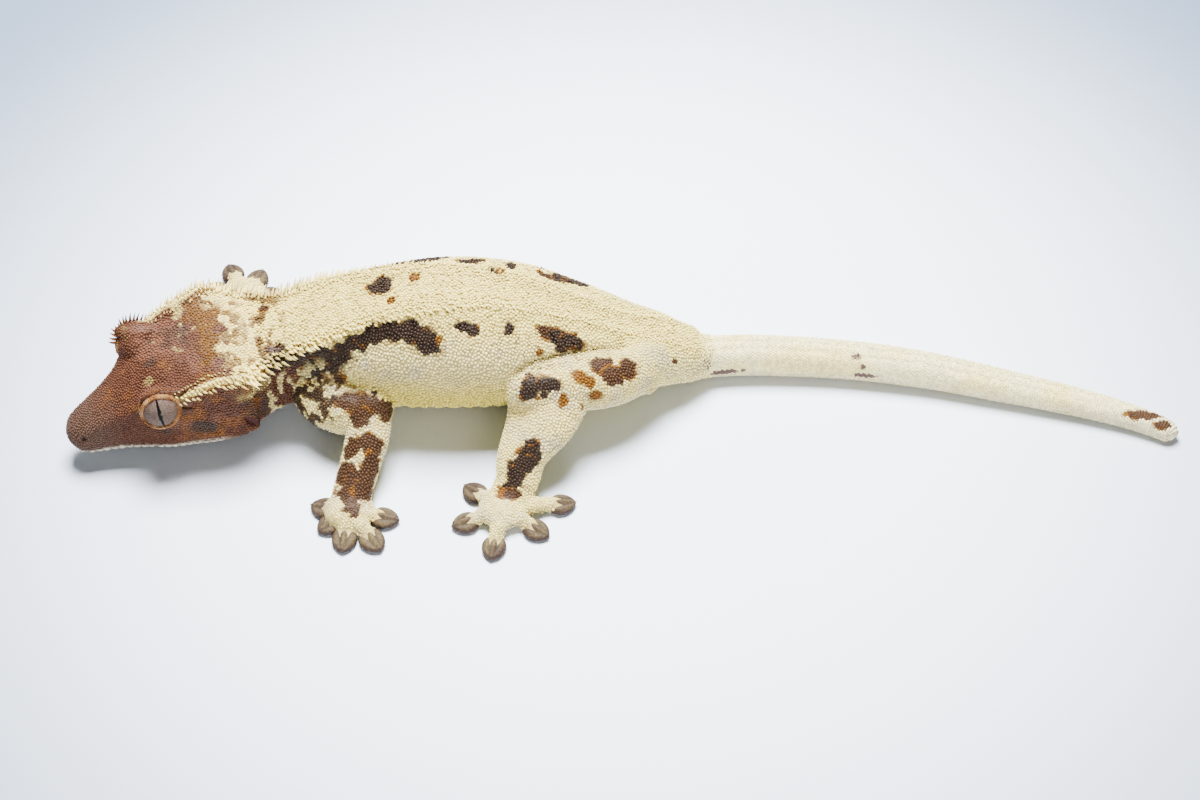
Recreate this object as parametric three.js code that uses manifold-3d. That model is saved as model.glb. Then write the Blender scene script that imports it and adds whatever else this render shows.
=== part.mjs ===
// A life-size crested gecko standing on the floor, as a still model in separate solid parts.
// Units are millimetres, +Z is up and the floor is z = 0. The head points to -X and the tail to +X.
// The animal's left side faces -Y. The origin is under the middle of the whole animal, on the floor.

import * as THREE from "three";
import { mergeVertices } from "three/addons/utils/BufferGeometryUtils.js";
import Module from "manifold-3d";

const wasm = await Module();
wasm.setup();

// Driving sizes.
const GAP = 0.3; // between parts that touch
const HEAD_LENGTH = 34; // snout tip to the back of the skull
const HEAD_YAW = 24; // degrees that the head turns to the animal's left
const HEAD_ROLL = 9; // degrees that the head leans to the left
const SNOUT_TIP = [-96.8, -13.5]; // x and y of the tip of the snout
const EYE_RADIUS = 3.7;
const EYE_BACK = 16.8; // eye centre behind the snout tip
const EYE_SIDE = 6.9; // eye centre beside the middle of the head
const EYE_HEIGHT = 14.7; // eye centre above the floor
const JAW_CORNER = 27.5; // corner of the mouth behind the snout tip
const EAR_BACK = 31.5;
const SPINE_SEED = 7;

const degrees = (angle) => (angle * Math.PI) / 180;
const headLean = Math.tan(degrees(HEAD_ROLL));
const headForward = [-Math.cos(degrees(HEAD_YAW)), -Math.sin(degrees(HEAD_YAW))];

// A point of the head: back from the snout tip, to the animal's left, and up from the floor.
function inHead(back, left, up) {
  const [fx, fy] = headForward;
  return new THREE.Vector3(
    SNOUT_TIP[0] - fx * back - fy * left,
    SNOUT_TIP[1] - fy * back + fx * left,
    up - headLean * left,
  );
}

// Stations of the body axis. half is the half width at the level mid, and the section runs from bottom to top.
// square is how boxy the upper half is (2 is an ellipse), and the crest is a ridge of that height at that angle.
// lean is the sideways slope of the section, which fades out where the neck begins.
function headStation(back, half, mid, top, bottom, square, crest, angle) {
  const p = inHead(back, 0, 0);
  return { x: p.x, y: p.y, half, mid, top, bottom, square, crest, angle, lean: headLean };
}

function bodyStation(x, y, half, mid, top, bottom, square, crest, angle) {
  return { x, y, half, mid, top, bottom, square, crest, angle, lean: 0 };
}

const BODY = [
  headStation(0, 1.2, 6.0, 7.2, 4.9, 2.0, 0.0, 50),
  headStation(0.8, 2.9, 5.9, 8.3, 3.9, 2.1, 0.0, 50),
  headStation(2.2, 4.1, 5.9, 9.5, 3.3, 2.2, 0.1, 50),
  headStation(5, 4.6, 6.1, 11.1, 2.9, 2.3, 0.3, 52),
  headStation(9, 5.7, 6.6, 13.2, 2.8, 2.4, 0.6, 52),
  headStation(13, 7.4, 7.1, 15.8, 2.8, 2.6, 1.5, 50),
  headStation(17, 9.3, 7.6, 17.9, 2.8, 2.7, 2.6, 48),
  headStation(21, 10.4, 8.0, 19.2, 2.8, 2.8, 2.5, 46),
  headStation(26, 11.9, 8.4, 20.2, 2.8, 2.7, 2.7, 48),
  headStation(31, 12.3, 8.8, 20.7, 2.8, 2.6, 3.0, 45),
  headStation(HEAD_LENGTH, 10.8, 9.3, 20.1, 2.8, 2.5, 2.4, 41),
  bodyStation(-58.8, 2.4, 9.5, 10.2, 19.8, 2.8, 2.4, 1.5, 44),
  bodyStation(-52, 3.7, 10.8, 11.2, 21.6, 2.6, 2.3, 1.2, 50),
  bodyStation(-45, 4.6, 12.4, 12.2, 23.4, 2.4, 2.2, 0.9, 56),
  bodyStation(-36, 4.8, 14.0, 13.2, 25.6, 2.2, 2.2, 0.6, 63),
  bodyStation(-26, 5.1, 14.6, 13.8, 26.0, 2.0, 2.2, 0.5, 68),
  bodyStation(-15, 5.4, 14.0, 13.6, 24.2, 2.0, 2.2, 0.5, 70),
  bodyStation(-5, 5.5, 12.1, 12.2, 20.2, 2.2, 2.2, 0.5, 70),
  bodyStation(5, 5.6, 9.6, 10.4, 15.3, 2.4, 2.2, 0.4, 66),
  bodyStation(12, 6.2, 7.6, 8.2, 13.4, 2.0, 2.2, 0.3, 62),
  bodyStation(18, 7.0, 4.9, 5.2, 10.2, 0.8, 2.2, 0.15, 56),
  bodyStation(21, 7.5, 4.0, 3.9, 8.2, 0.0, 2.2, 0.05, 55),
  bodyStation(30, 8.0, 3.9, 3.8, 7.8, -0.3, 2.3, 0.0, 55),
  bodyStation(45, 7.2, 3.8, 3.6, 7.3, -0.3, 2.3, 0.0, 55),
  bodyStation(60, 5.0, 3.65, 3.4, 6.8, -0.3, 2.3, 0.0, 55),
  bodyStation(75, 1.3, 3.3, 3.0, 6.0, -0.3, 2.3, 0.0, 55),
  bodyStation(88, -2.2, 2.95, 2.6, 5.2, -0.3, 2.3, 0.0, 55),
  bodyStation(97, -5.2, 2.6, 2.3, 4.6, -0.3, 2.3, 0.0, 55),
  bodyStation(102.5, -7.5, 2.5, 2.0, 4.1, -0.3, 2.2, 0.0, 55),
  bodyStation(105.2, -9.2, 2.2, 1.8, 3.6, -0.3, 2.1, 0.0, 55),
  bodyStation(106.0, -10.2, 1.2, 1.7, 2.7, 0.4, 2.0, 0.0, 55),
];

// Where one part ends and the next begins, as stations of the body axis.
const SKULL_END = 10.4;
const NECK_END = 12.6;
const TORSO_END = 21;
const TAIL_BASE_END = 23.6;
const TAIL_MIDDLE_END = 26;
const LAST = BODY.length - 1;

// Value of one property of a list of stations at the place t, counted in stations, on a smooth curve.
function along(stations, property, t) {
  const i = Math.min(Math.max(Math.floor(t), 0), stations.length - 2);
  const u = t - i;
  const at = (k) => stations[Math.min(Math.max(k, 0), stations.length - 1)][property];
  const [before, from, to, after] = [at(i - 1), at(i), at(i + 1), at(i + 2)];
  const slopeFrom = (to - before) / 2;
  const slopeTo = (after - from) / 2;
  return (
    from * (1 + u * u * (2 * u - 3)) +
    to * (u * u * (3 - 2 * u)) +
    slopeFrom * u * (u - 1) * (u - 1) +
    slopeTo * u * u * (u - 1)
  );
}

const CREST_WIDTH = 0.2; // radians, of the ridge that carries the crest spines

// Point of the body's surface at place t and angle a, which is 0 on the left flank and a quarter turn on the back.
function bodyPoint(t, a, grow = 0) {
  const value = (property) => along(BODY, property, t);
  const step = 0.01;
  const tx = along(BODY, "x", Math.min(t + step, LAST)) - along(BODY, "x", Math.max(t - step, 0));
  const ty = along(BODY, "y", Math.min(t + step, LAST)) - along(BODY, "y", Math.max(t - step, 0));
  const length = Math.hypot(tx, ty);
  const [sideX, sideY] = [ty / length, -tx / length];
  const c = Math.cos(a);
  const s = Math.sin(a);
  const height = s >= 0 ? value("top") - value("mid") : value("mid") - value("bottom");
  const power = s >= 0 ? value("square") : 2.4;
  const half = value("half");
  const round =
    Math.pow(Math.pow(Math.abs(c) / half, power) + Math.pow(Math.abs(s) / height, power), -1 / power) +
    grow;
  const crestAngle = degrees(value("angle"));
  const off = Math.atan2(s, Math.abs(c)) - crestAngle;
  const ridge = value("crest") * Math.exp(-(off * off) / (CREST_WIDTH * CREST_WIDTH));
  const side = round * c + Math.sign(c) * ridge * Math.cos(crestAngle);
  const rise = round * s + ridge * Math.sin(crestAngle) - value("lean") * side;
  return new THREE.Vector3(value("x") + sideX * side, value("y") + sideY * side, value("mid") + rise);
}

// A closed mesh from rings of points, each end closed by a fan to the middle of its ring.
function skinOfRings(rings) {
  const count = rings[0].length;
  const points = rings.flat();
  const faces = [];
  for (let r = 0; r + 1 < rings.length; r++)
    for (let k = 0; k < count; k++) {
      const a = r * count + k;
      const b = r * count + ((k + 1) % count);
      faces.push(a, b, b + count, a, b + count, a + count);
    }
  for (const [ring, flip] of [
    [0, true],
    [rings.length - 1, false],
  ]) {
    const middle = new THREE.Vector3();
    rings[ring].forEach((p) => middle.addScaledVector(p, 1 / count));
    points.push(middle);
    for (let k = 0; k < count; k++) {
      const a = ring * count + k;
      const b = ring * count + ((k + 1) % count);
      if (flip) faces.push(b, a, points.length - 1);
      else faces.push(a, b, points.length - 1);
    }
  }
  const geometry = new THREE.BufferGeometry().setFromPoints(points);
  geometry.setIndex(faces);
  return geometry;
}

// A three.js geometry as a manifold-3d solid, turned the right way out.
function solid(geometry) {
  const bare = geometry.clone();
  bare.deleteAttribute("normal");
  bare.deleteAttribute("uv");
  const merged = mergeVertices(bare, 1e-4);
  const vertProperties = new Float32Array(merged.attributes.position.array);
  const triVerts = new Uint32Array(merged.index.array);
  const made = new wasm.Manifold(new wasm.Mesh({ numProp: 3, vertProperties, triVerts }));
  if (made.volume() > 0) return made;
  for (let i = 0; i < triVerts.length; i += 3)
    [triVerts[i + 1], triVerts[i + 2]] = [triVerts[i + 2], triVerts[i + 1]];
  return new wasm.Manifold(new wasm.Mesh({ numProp: 3, vertProperties, triVerts }));
}

// The body between two stations, as a closed solid, grown outwards by grow.
function bodyLength(from, to, rings, segments, grow = 0) {
  const list = [];
  for (let r = 0; r <= rings; r++) {
    const t = from + ((to - from) * r) / rings;
    const ring = [];
    for (let k = 0; k < segments; k++) ring.push(bodyPoint(t, (2 * Math.PI * k) / segments, grow));
    list.push(ring);
  }
  return solid(skinOfRings(list));
}

// A limb: stations with a place, a half width across and a half thickness. flat is the direction of the thickness.
function limbRing(stations, t, segments, grow, flat) {
  const last = stations.length - 1;
  const step = 0.02;
  const place = (u) =>
    new THREE.Vector3(along(stations, "x", u), along(stations, "y", u), along(stations, "z", u));
  const tangent = place(Math.min(t + step, last)).sub(place(Math.max(t - step, 0))).normalize();
  const across = new THREE.Vector3().crossVectors(tangent, flat).normalize();
  const thick = new THREE.Vector3().crossVectors(across, tangent).normalize();
  const middle = place(t);
  const half = along(stations, "half", t) + grow;
  const depth = along(stations, "depth", t) + grow;
  const ring = [];
  for (let k = 0; k < segments; k++) {
    const a = (2 * Math.PI * k) / segments;
    ring.push(
      middle
        .clone()
        .addScaledVector(across, half * Math.cos(a))
        .addScaledVector(thick, depth * Math.sin(a)),
    );
  }
  return ring;
}

const UP = new THREE.Vector3(0, 0, 1);

function limb(stations, from, to, rings, segments, grow = 0, flat = UP) {
  const list = [];
  for (let r = 0; r <= rings; r++)
    list.push(limbRing(stations, from + ((to - from) * r) / rings, segments, grow, flat));
  return solid(skinOfRings(list));
}

function limbStation(x, y, z, half, depth) {
  return { x, y, z, half, depth };
}

const join = (parts) => wasm.Manifold.union(parts);

// The largest closed surface of a solid, which drops any loose scrap.
function largest(made) {
  const pieces = made.decompose();
  return pieces.reduce((best, piece) => (piece.volume() > best.volume() ? piece : best), pieces[0]);
}

function ball(middle, sizes, across = 16, down = 10) {
  const geometry = new THREE.SphereGeometry(1, across, down);
  geometry.scale(...sizes);
  geometry.translate(middle.x, middle.y, middle.z);
  return solid(geometry);
}

// Everything under the floor, to cut the soles flat.
const SLAB = 400;
const underFloor = solid(new THREE.BoxGeometry(SLAB, SLAB, SLAB).translate(0, 0, -SLAB / 2));

// Crest spines.
let randomState = SPINE_SEED;
function random() {
  randomState = (randomState * 1103515245 + 12345) % 2147483648;
  return randomState / 2147483648;
}

const SPINE_SIDES = 4;
const SPINE_ROOT = 0.9; // depth of a spine's root under the skin

function spine(base, direction, length, radius) {
  const geometry = new THREE.ConeGeometry(radius, length + SPINE_ROOT, SPINE_SIDES);
  geometry.translate(0, (length - SPINE_ROOT) / 2, 0);
  geometry.applyQuaternion(new THREE.Quaternion().setFromUnitVectors(new THREE.Vector3(0, 1, 0), direction));
  geometry.translate(base.x, base.y, base.z);
  return solid(geometry);
}

// A row of spines along both crests between two stations, leaning out from the body's middle and back.
function crestRow(from, to, spacing, length, radius, lean) {
  const spines = [];
  for (const side of [1, -1]) {
    let t = from;
    while (t < to) {
      const angle = degrees(along(BODY, "angle", t));
      const a = side > 0 ? angle : Math.PI - angle;
      const base = bodyPoint(t, a);
      const inner = bodyPoint(t, a, -1);
      const ahead = bodyPoint(Math.min(t + 0.05, LAST), a).sub(base).normalize();
      const out = base.clone().sub(inner).normalize().addScaledVector(ahead, lean).normalize();
      const size = 0.75 + 0.5 * random();
      spines.push(spine(base, out, length * size, radius));
      const place = new THREE.Vector3(along(BODY, "x", t), along(BODY, "y", t), 0);
      const next = new THREE.Vector3(along(BODY, "x", t + 0.1), along(BODY, "y", t + 0.1), 0);
      t += (0.1 * spacing * (0.85 + 0.3 * random())) / place.distanceTo(next);
    }
  }
  return spines;
}

// The head.

function eyeCentre(left) {
  return inHead(EYE_BACK, left * EYE_SIDE, EYE_HEIGHT);
}

// Raised rim round an eye, a ring tilted with the side of the head.
function eyeRim(left) {
  const ring = new THREE.TorusGeometry(EYE_RADIUS * 0.9, 0.75, 5, 16);
  ring.scale(1.12, 1, 1);
  const outward = inHead(EYE_BACK - 0.6, left * (EYE_SIDE + 1), EYE_HEIGHT + 0.35).sub(eyeCentre(left));
  ring.applyQuaternion(
    new THREE.Quaternion().setFromUnitVectors(new THREE.Vector3(0, 0, 1), outward.clone().normalize()),
  );
  const middle = eyeCentre(left).addScaledVector(outward.normalize(), EYE_RADIUS * 0.5);
  ring.translate(middle.x, middle.y, middle.z);
  return solid(ring);
}

// Lash spines above an eye.
function lashes(left) {
  const made = [];
  const count = 6;
  for (let k = 0; k < count; k++) {
    const back = EYE_BACK - 3.6 + (7.4 * k) / (count - 1);
    const rise = 3.7 - 0.09 * Math.pow(back - EYE_BACK, 2);
    const base = inHead(back, left * (EYE_SIDE + 1.3), EYE_HEIGHT + rise);
    const out = inHead(back + 0.1, left * (EYE_SIDE + 2.5), EYE_HEIGHT + rise + 0.9)
      .sub(base)
      .normalize();
    made.push(spine(base, out, 0.9 + 0.5 * random(), 0.45));
  }
  return made;
}

// Side view of the lower jaw, as [back, up] points: the line of the mouth, then down behind its corner.
function jawOutline(grow) {
  const shape = new THREE.Shape();
  shape.moveTo(-3, 4.9 + grow);
  shape.bezierCurveTo(6, 4.3 + grow, 14, 5.6 + grow, JAW_CORNER + grow, 7.2 + grow);
  shape.lineTo(JAW_CORNER + 1.5 + grow, 5.8);
  shape.lineTo(JAW_CORNER - 1 + grow, -2);
  shape.lineTo(-3, -2);
  shape.closePath();
  return shape;
}

function jawRegion(grow) {
  const width = 40;
  const block = new THREE.ExtrudeGeometry(jawOutline(grow), {
    depth: width,
    bevelEnabled: false,
    curveSegments: 10,
  });
  const basis = new THREE.Matrix4().makeBasis(
    new THREE.Vector3(-headForward[0], -headForward[1], 0),
    UP,
    new THREE.Vector3(-headForward[1], headForward[0], 0),
  );
  block.translate(0, 0, -width / 2);
  block.applyMatrix4(basis);
  block.translate(SNOUT_TIP[0], SNOUT_TIP[1], 0);
  return solid(block);
}

function headParts() {
  const skull = bodyLength(0, SKULL_END, 22, 28);
  const rims = [eyeRim(1), eyeRim(-1)];
  const crests = crestRow(7.2, SKULL_END - 0.15, 1.9, 1.1, 0.5, 0.5);
  let whole = join([skull, ...rims, ...crests, ...lashes(1), ...lashes(-1)]);
  const cuts = [];
  for (const left of [1, -1]) {
    cuts.push(ball(eyeCentre(left), Array(3).fill(EYE_RADIUS + GAP), 16, 12));
    cuts.push(ball(inHead(2.0, left * 3.6, 7.2), [0.55, 0.55, 0.45], 8, 6));
    cuts.push(ball(inHead(EAR_BACK, left * 12.3, 9.4), [0.9, 1.1, 1.7], 8, 6));
  }
  whole = whole.subtract(join(cuts));
  return {
    head: largest(whole.subtract(jawRegion(GAP / 2))),
    lower_jaw: largest(whole.intersect(jawRegion(-GAP / 2))),
  };
}

function eye(left) {
  return ball(eyeCentre(left), Array(3).fill(EYE_RADIUS), 16, 12);
}

// The limbs: the upper length from inside the body to the joint, the joint's own radius, and the lower length
// from the joint into the foot.
const LIMBS = {
  left_arm: {
    upper: [
      limbStation(-51.5, 1.5, 9.6, 7.0, 5.8),
      limbStation(-49.6, -5.2, 8.2, 6.8, 5.6),
      limbStation(-45.6, -9.0, 8.2, 5.4, 4.8),
      limbStation(-41.4, -9.6, 9.2, 4.2, 3.9),
    ],
    joint: 4.2,
    lower: [
      limbStation(-41.6, -9.6, 9.0, 4.0, 3.7),
      limbStation(-42.1, -14.6, 7.0, 4.2, 3.4),
      limbStation(-43.5, -20.0, 4.5, 3.9, 2.8),
      limbStation(-44.8, -25.2, 2.6, 4.0, 2.2),
    ],
  },
  right_arm: {
    upper: [
      limbStation(-50.5, 6.5, 10.5, 5.6, 5.0),
      limbStation(-53.5, 12.4, 10.8, 4.8, 4.4),
      limbStation(-57.2, 15.8, 9.4, 4.0, 3.8),
    ],
    joint: 3.9,
    lower: [
      limbStation(-57.2, 15.8, 9.2, 3.9, 3.6),
      limbStation(-62.0, 17.6, 6.0, 4.2, 3.2),
      limbStation(-66.4, 20.4, 4.0, 3.9, 2.7),
      limbStation(-69.4, 23.0, 2.5, 3.7, 2.1),
    ],
  },
  left_leg: {
    upper: [
      limbStation(10.0, 3.6, 9.0, 5.4, 5.2),
      limbStation(2.5, -2.5, 10.2, 6.1, 5.4),
      limbStation(-5.5, -5.6, 11.8, 6.0, 5.2),
      limbStation(-12.8, -8.4, 12.6, 4.6, 4.6),
    ],
    joint: 4.8,
    lower: [
      limbStation(-8.8, -7.6, 11.0, 7.6, 4.6),
      limbStation(-10.9, -12.8, 9.0, 6.8, 3.8),
      limbStation(-13.9, -17.8, 6.2, 4.9, 3.2),
      limbStation(-15.0, -22.0, 3.7, 4.3, 2.7),
      limbStation(-16.6, -24.8, 2.4, 4.0, 2.1),
    ],
  },
  right_leg: {
    upper: [
      limbStation(9.0, 6.5, 8.6, 5.2, 4.6),
      limbStation(3.0, 11.6, 8.4, 5.0, 4.2),
      limbStation(-4.0, 16.0, 7.4, 4.2, 3.8),
    ],
    joint: 3.9,
    lower: [
      limbStation(-3.6, 16.4, 7.0, 4.2, 3.4),
      limbStation(-2.4, 18.6, 5.4, 4.2, 3.0),
      limbStation(-0.4, 19.8, 3.8, 3.8, 2.6),
      limbStation(1.0, 20.6, 2.4, 3.6, 2.1),
    ],
  },
};

// The toes of each foot: x and y of the tip. The pad is broad and ends in a point with a small claw.
const FEET = {
  left_front_foot: {
    limb: "left_arm",
    palm: [-45.0, -27.2],
    tips: [[-52.0, -25.4], [-50.2, -31.2], [-45.6, -35.7], [-38.8, -35.4], [-36.0, -28.8]],
    pad: 2.3,
  },
  right_front_foot: {
    limb: "right_arm",
    palm: [-69.6, 25.2],
    tips: [[-77.0, 22.6], [-78.0, 28.4], [-74.0, 34.4], [-67.0, 33.0], [-62.2, 26.6]],
    pad: 2.2,
  },
  left_hind_foot: {
    limb: "left_leg",
    palm: [-17.3, -27.0],
    tips: [[-24.6, -20.9], [-26.4, -30.2], [-19.3, -37.3], [-9.2, -32.4], [-4.4, -24.8]],
    pad: 2.2,
  },
  right_hind_foot: {
    limb: "right_leg",
    palm: [0.8, 20.6],
    tips: [[6.6, 17.2], [7.4, 21.8], [1.8, 25.6], [-5.0, 25.8], [-8.4, 21.4]],
    pad: 2.0,
  },
};

const WRIST = 0.55; // the lower length ends this many stations before its last one
const WRIST_GAP = 0.07;

function toe(palm, tip, pad) {
  const way = new THREE.Vector2(tip[0] - palm[0], tip[1] - palm[1]);
  const at = (share, z, half, depth) =>
    limbStation(palm[0] + way.x * share, palm[1] + way.y * share, z, half, depth);
  const padShare = 1 - (pad * 1.2) / way.length();
  const stations = [
    at(0.05, 1.9, 1.9, 1.7),
    at(0.35, 1.7, 1.7, 1.6),
    at(padShare - (pad * 1.15) / way.length(), 1.4, 1.35, 1.4),
    at(padShare - (pad * 0.45) / way.length(), 1.1, pad * 0.9, 1.3),
    at(padShare, 0.95, pad, 1.15),
    at((padShare + 1) / 2, 0.8, pad * 0.72, 0.95),
    at(1, 0.55, 0.35, 0.6),
  ];
  const body = limb(stations, 0, 6, 9, 8);
  const direction = new THREE.Vector3(way.x, way.y, 0).normalize();
  const claw = spine(new THREE.Vector3(tip[0], tip[1], 0.6), direction, 0.8, 0.4);
  return join([body, claw]);
}

function foot({ limb: name, palm, tips, pad }) {
  const { lower } = LIMBS[name];
  const last = lower.length - 1;
  const stub = limb(lower, last - WRIST + WRIST_GAP, last, 2, 12);
  const middle = ball(new THREE.Vector3(palm[0], palm[1], 1.9), [4.6, 4.2, 2.3], 12, 6);
  const whole = join([stub, middle, ...tips.map((tip) => toe(palm, tip, pad))]);
  return whole.subtract(underFloor).subtract(limb(lower, 0, last - WRIST, 10, 12, GAP));
}

function upperLimb({ upper, joint }, grow = 0) {
  const last = upper[upper.length - 1];
  const end = ball(new THREE.Vector3(last.x, last.y, last.z), Array(3).fill(joint + grow), 14, 10);
  return join([limb(upper, 0, upper.length - 1, 7, 12, grow), end]);
}

function limbParts(sizes) {
  const body = bodyLength(SKULL_END, TORSO_END + 0.9, 34, 28, GAP);
  const lower = limb(sizes.lower, 0, sizes.lower.length - 1 - WRIST, 7, 12);
  return [
    largest(upperLimb(sizes).subtract(body)),
    largest(lower.subtract(upperLimb(sizes, GAP)).subtract(body)),
  ];
}

// Colours.
function material(color, roughness) {
  return new THREE.MeshStandardMaterial({ color, roughness, metalness: 0 });
}

const rust = material(0x9a6a4e, 0.7);
const cream = material(0xf0e6c0, 0.7);
const mottled = material(0xd8cdb4, 0.7);
const limbSkin = material(0xe6ddc4, 0.7);
const irisSilver = material(0x9c948c, 0.2);

const gecko = new THREE.Group();

function add(name, made, look) {
  const mesh = made.getMesh();
  const geometry = new THREE.BufferGeometry();
  const stride = mesh.numProp;
  const positions = new Float32Array(mesh.numVert * 3);
  for (let i = 0; i < mesh.numVert; i++)
    positions.set(mesh.vertProperties.subarray(i * stride, i * stride + 3), i * 3);
  geometry.setAttribute("position", new THREE.BufferAttribute(positions, 3));
  geometry.setIndex(new THREE.BufferAttribute(new Uint32Array(mesh.triVerts), 1));
  const object = new THREE.Mesh(geometry, look);
  object.name = name;
  gecko.add(object);
}

const { head, lower_jaw: lowerJaw } = headParts();
add("head", head, rust);
add("lower_jaw", lowerJaw, cream);
add("eye_left", eye(1), irisSilver);
add("eye_right", eye(-1), irisSilver);

const neckSkin = bodyLength(SKULL_END + 0.09, NECK_END, 6, 28);
add("neck", largest(join([neckSkin, ...crestRow(SKULL_END + 0.3, NECK_END - 0.15, 2.0, 1.2, 0.55, 0.4)])), mottled);

const torsoSkin = bodyLength(NECK_END + 0.04, TORSO_END, 24, 28);
const backSpines = crestRow(NECK_END + 0.2, TORSO_END - 1.2, 2.4, 0.8, 0.5, 0.3);
add("torso", largest(join([torsoSkin, ...backSpines]).subtract(underFloor)), cream);

add("tail_base", largest(bodyLength(TORSO_END + 0.08, TAIL_BASE_END, 6, 16).subtract(underFloor)), cream);
add("tail_middle", largest(bodyLength(TAIL_BASE_END + 0.02, TAIL_MIDDLE_END, 6, 16).subtract(underFloor)), cream);
add("tail_tip", largest(bodyLength(TAIL_MIDDLE_END + 0.03, LAST, 12, 14).subtract(underFloor)), cream);

for (const [name, upperName, lowerName] of [
  ["left_arm", "left_upper_arm", "left_forearm"],
  ["right_arm", "right_upper_arm", "right_forearm"],
  ["left_leg", "left_thigh", "left_shin"],
  ["right_leg", "right_thigh", "right_shin"],
]) {
  const [upper, lower] = limbParts(LIMBS[name]);
  add(upperName, upper, limbSkin);
  add(lowerName, lower, limbSkin);
}
for (const [name, sizes] of Object.entries(FEET)) add(name, largest(foot(sizes)), limbSkin);

// The origin goes under the middle of the whole animal.
const box = new THREE.Box3().setFromObject(gecko);
const middle = box.getCenter(new THREE.Vector3());
gecko.position.set(-middle.x, -middle.y, 0);

export default gecko;
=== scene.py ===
"""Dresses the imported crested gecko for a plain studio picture.

The skin is one surface, worked out from the same body stations as the solids, with small raised scales, crest
spines, lashes, eyelids, eyes, toe pads and claws over it. Sizes are in millimetres on the table, whose
origin is the point of the floor at the middle of the picture. They become metres in the frame when a mesh
is made.
"""

import logging
import math
from dataclasses import dataclass, field
from enum import Enum, IntEnum

import bpy
import numpy as np
from mathutils import Matrix, Vector
from mathutils.kdtree import KDTree


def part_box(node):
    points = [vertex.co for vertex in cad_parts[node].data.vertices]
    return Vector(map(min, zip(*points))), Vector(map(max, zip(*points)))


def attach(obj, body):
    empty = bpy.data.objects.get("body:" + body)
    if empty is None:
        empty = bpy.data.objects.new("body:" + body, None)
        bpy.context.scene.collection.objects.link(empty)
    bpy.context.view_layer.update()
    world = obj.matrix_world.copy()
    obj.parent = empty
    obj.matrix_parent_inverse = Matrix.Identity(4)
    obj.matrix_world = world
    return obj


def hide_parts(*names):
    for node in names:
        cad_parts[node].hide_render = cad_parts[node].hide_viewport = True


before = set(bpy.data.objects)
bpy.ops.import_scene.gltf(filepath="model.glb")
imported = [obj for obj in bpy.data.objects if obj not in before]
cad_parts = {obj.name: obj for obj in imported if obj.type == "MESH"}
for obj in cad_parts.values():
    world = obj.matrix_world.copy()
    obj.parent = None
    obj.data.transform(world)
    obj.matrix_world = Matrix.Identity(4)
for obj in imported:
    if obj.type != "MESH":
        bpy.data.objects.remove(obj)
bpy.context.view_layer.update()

LOG = logging.getLogger("gecko")
MM = 0.001
SEED = 11
EYE_RADIUS = 3.7
EYE_BACK = 16.8
EYE_SIDE = 6.9
EYE_HEIGHT = 14.7
MOUTH_CORNER = 27.5
EAR_BACK = 31.5
EAR_UP = 9.4
EAR_SIDE = 6.0  # how far from the middle of the head the ears start
NOSTRIL = (2.2, 3.4, 8.0)  # back, to each side and up
CREST_WIDTH = 0.2  # radians, of the ridge that carries the crest spines
CAMERA_ELEVATION = 50.0
CAMERA_DISTANCE = 0.377
CAMERA_LENS = 60.0
CAMERA_SENSOR = 36.0
SCALES_A_PIECE = 8000
FLOOR_REACH = 2.5


class Side(Enum):
    """A side of the animal, as the sign of its left-hand coordinate."""

    LEFT = 1
    RIGHT = -1


class Region(IntEnum):
    """What part of the skin a point belongs to."""

    HEAD = 0
    TRUNK = 1
    TAIL = 2
    LIMB = 3
    FOOT = 4


# Small mathematics.


def smooth(low: float, high: float, value: np.ndarray) -> np.ndarray:
    """Rises from 0 at low to 1 at high with level ends: u squared times three minus two u.

    Args:
        low: value where the step starts, which may be above high for a falling step.
        high: value where the step is complete.
        value: where to read it.

    Returns:
        The step, between 0 and 1.
    """
    u = np.clip((value - low) / (high - low), 0.0, 1.0)
    return u * u * (3.0 - 2.0 * u)


def unit(vectors: np.ndarray) -> np.ndarray:
    """Returns vectors of length one, along the last axis."""
    return vectors / np.maximum(np.linalg.norm(vectors, axis=-1, keepdims=True), 1e-12)


def bell(offset: np.ndarray, width: float) -> np.ndarray:
    """Falls from 1 to both sides: e to the power of minus the square of the offset over the width."""
    return np.exp(-((offset / width) ** 2))


def full_turn(count: int) -> np.ndarray:
    """Evenly spaced angles round a full turn, without its end."""
    return np.linspace(0.0, 2.0 * math.pi, count, endpoint=False)


def travelled(line: np.ndarray) -> np.ndarray:
    """Distance along a line of points up to each of them."""
    return np.concatenate([[0.0], np.cumsum(np.linalg.norm(np.diff(line, axis=0), axis=-1))])


def point_tree(points: np.ndarray) -> KDTree:
    """Sorts points so that those near a place are found quickly."""
    tree = KDTree(len(points))
    for number, point in enumerate(points):
        tree.insert(point, number)
    tree.balance()
    return tree


def hashed(cells: np.ndarray, seed: int) -> np.ndarray:
    """Gives each whole-number cell a fixed value from 0 to 1, by multiplying and mixing its bits.

    Args:
        cells: whole numbers, three to a cell.
        seed: chooses another set of values.

    Returns:
        One value for each cell.
    """
    c = cells.astype(np.int64)
    h = (c[..., 0] * 73856093) ^ (c[..., 1] * 19349663) ^ (c[..., 2] * 83492791) ^ (seed * 2654435761)
    h = h & 0xFFFFFFFF
    h = ((h ^ (h >> 15)) * 2246822519) & 0xFFFFFFFF
    h = ((h ^ (h >> 13)) * 3266489917) & 0xFFFFFFFF
    return ((h ^ (h >> 16)) & 0xFFFFFF) / float(0xFFFFFF)


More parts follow.
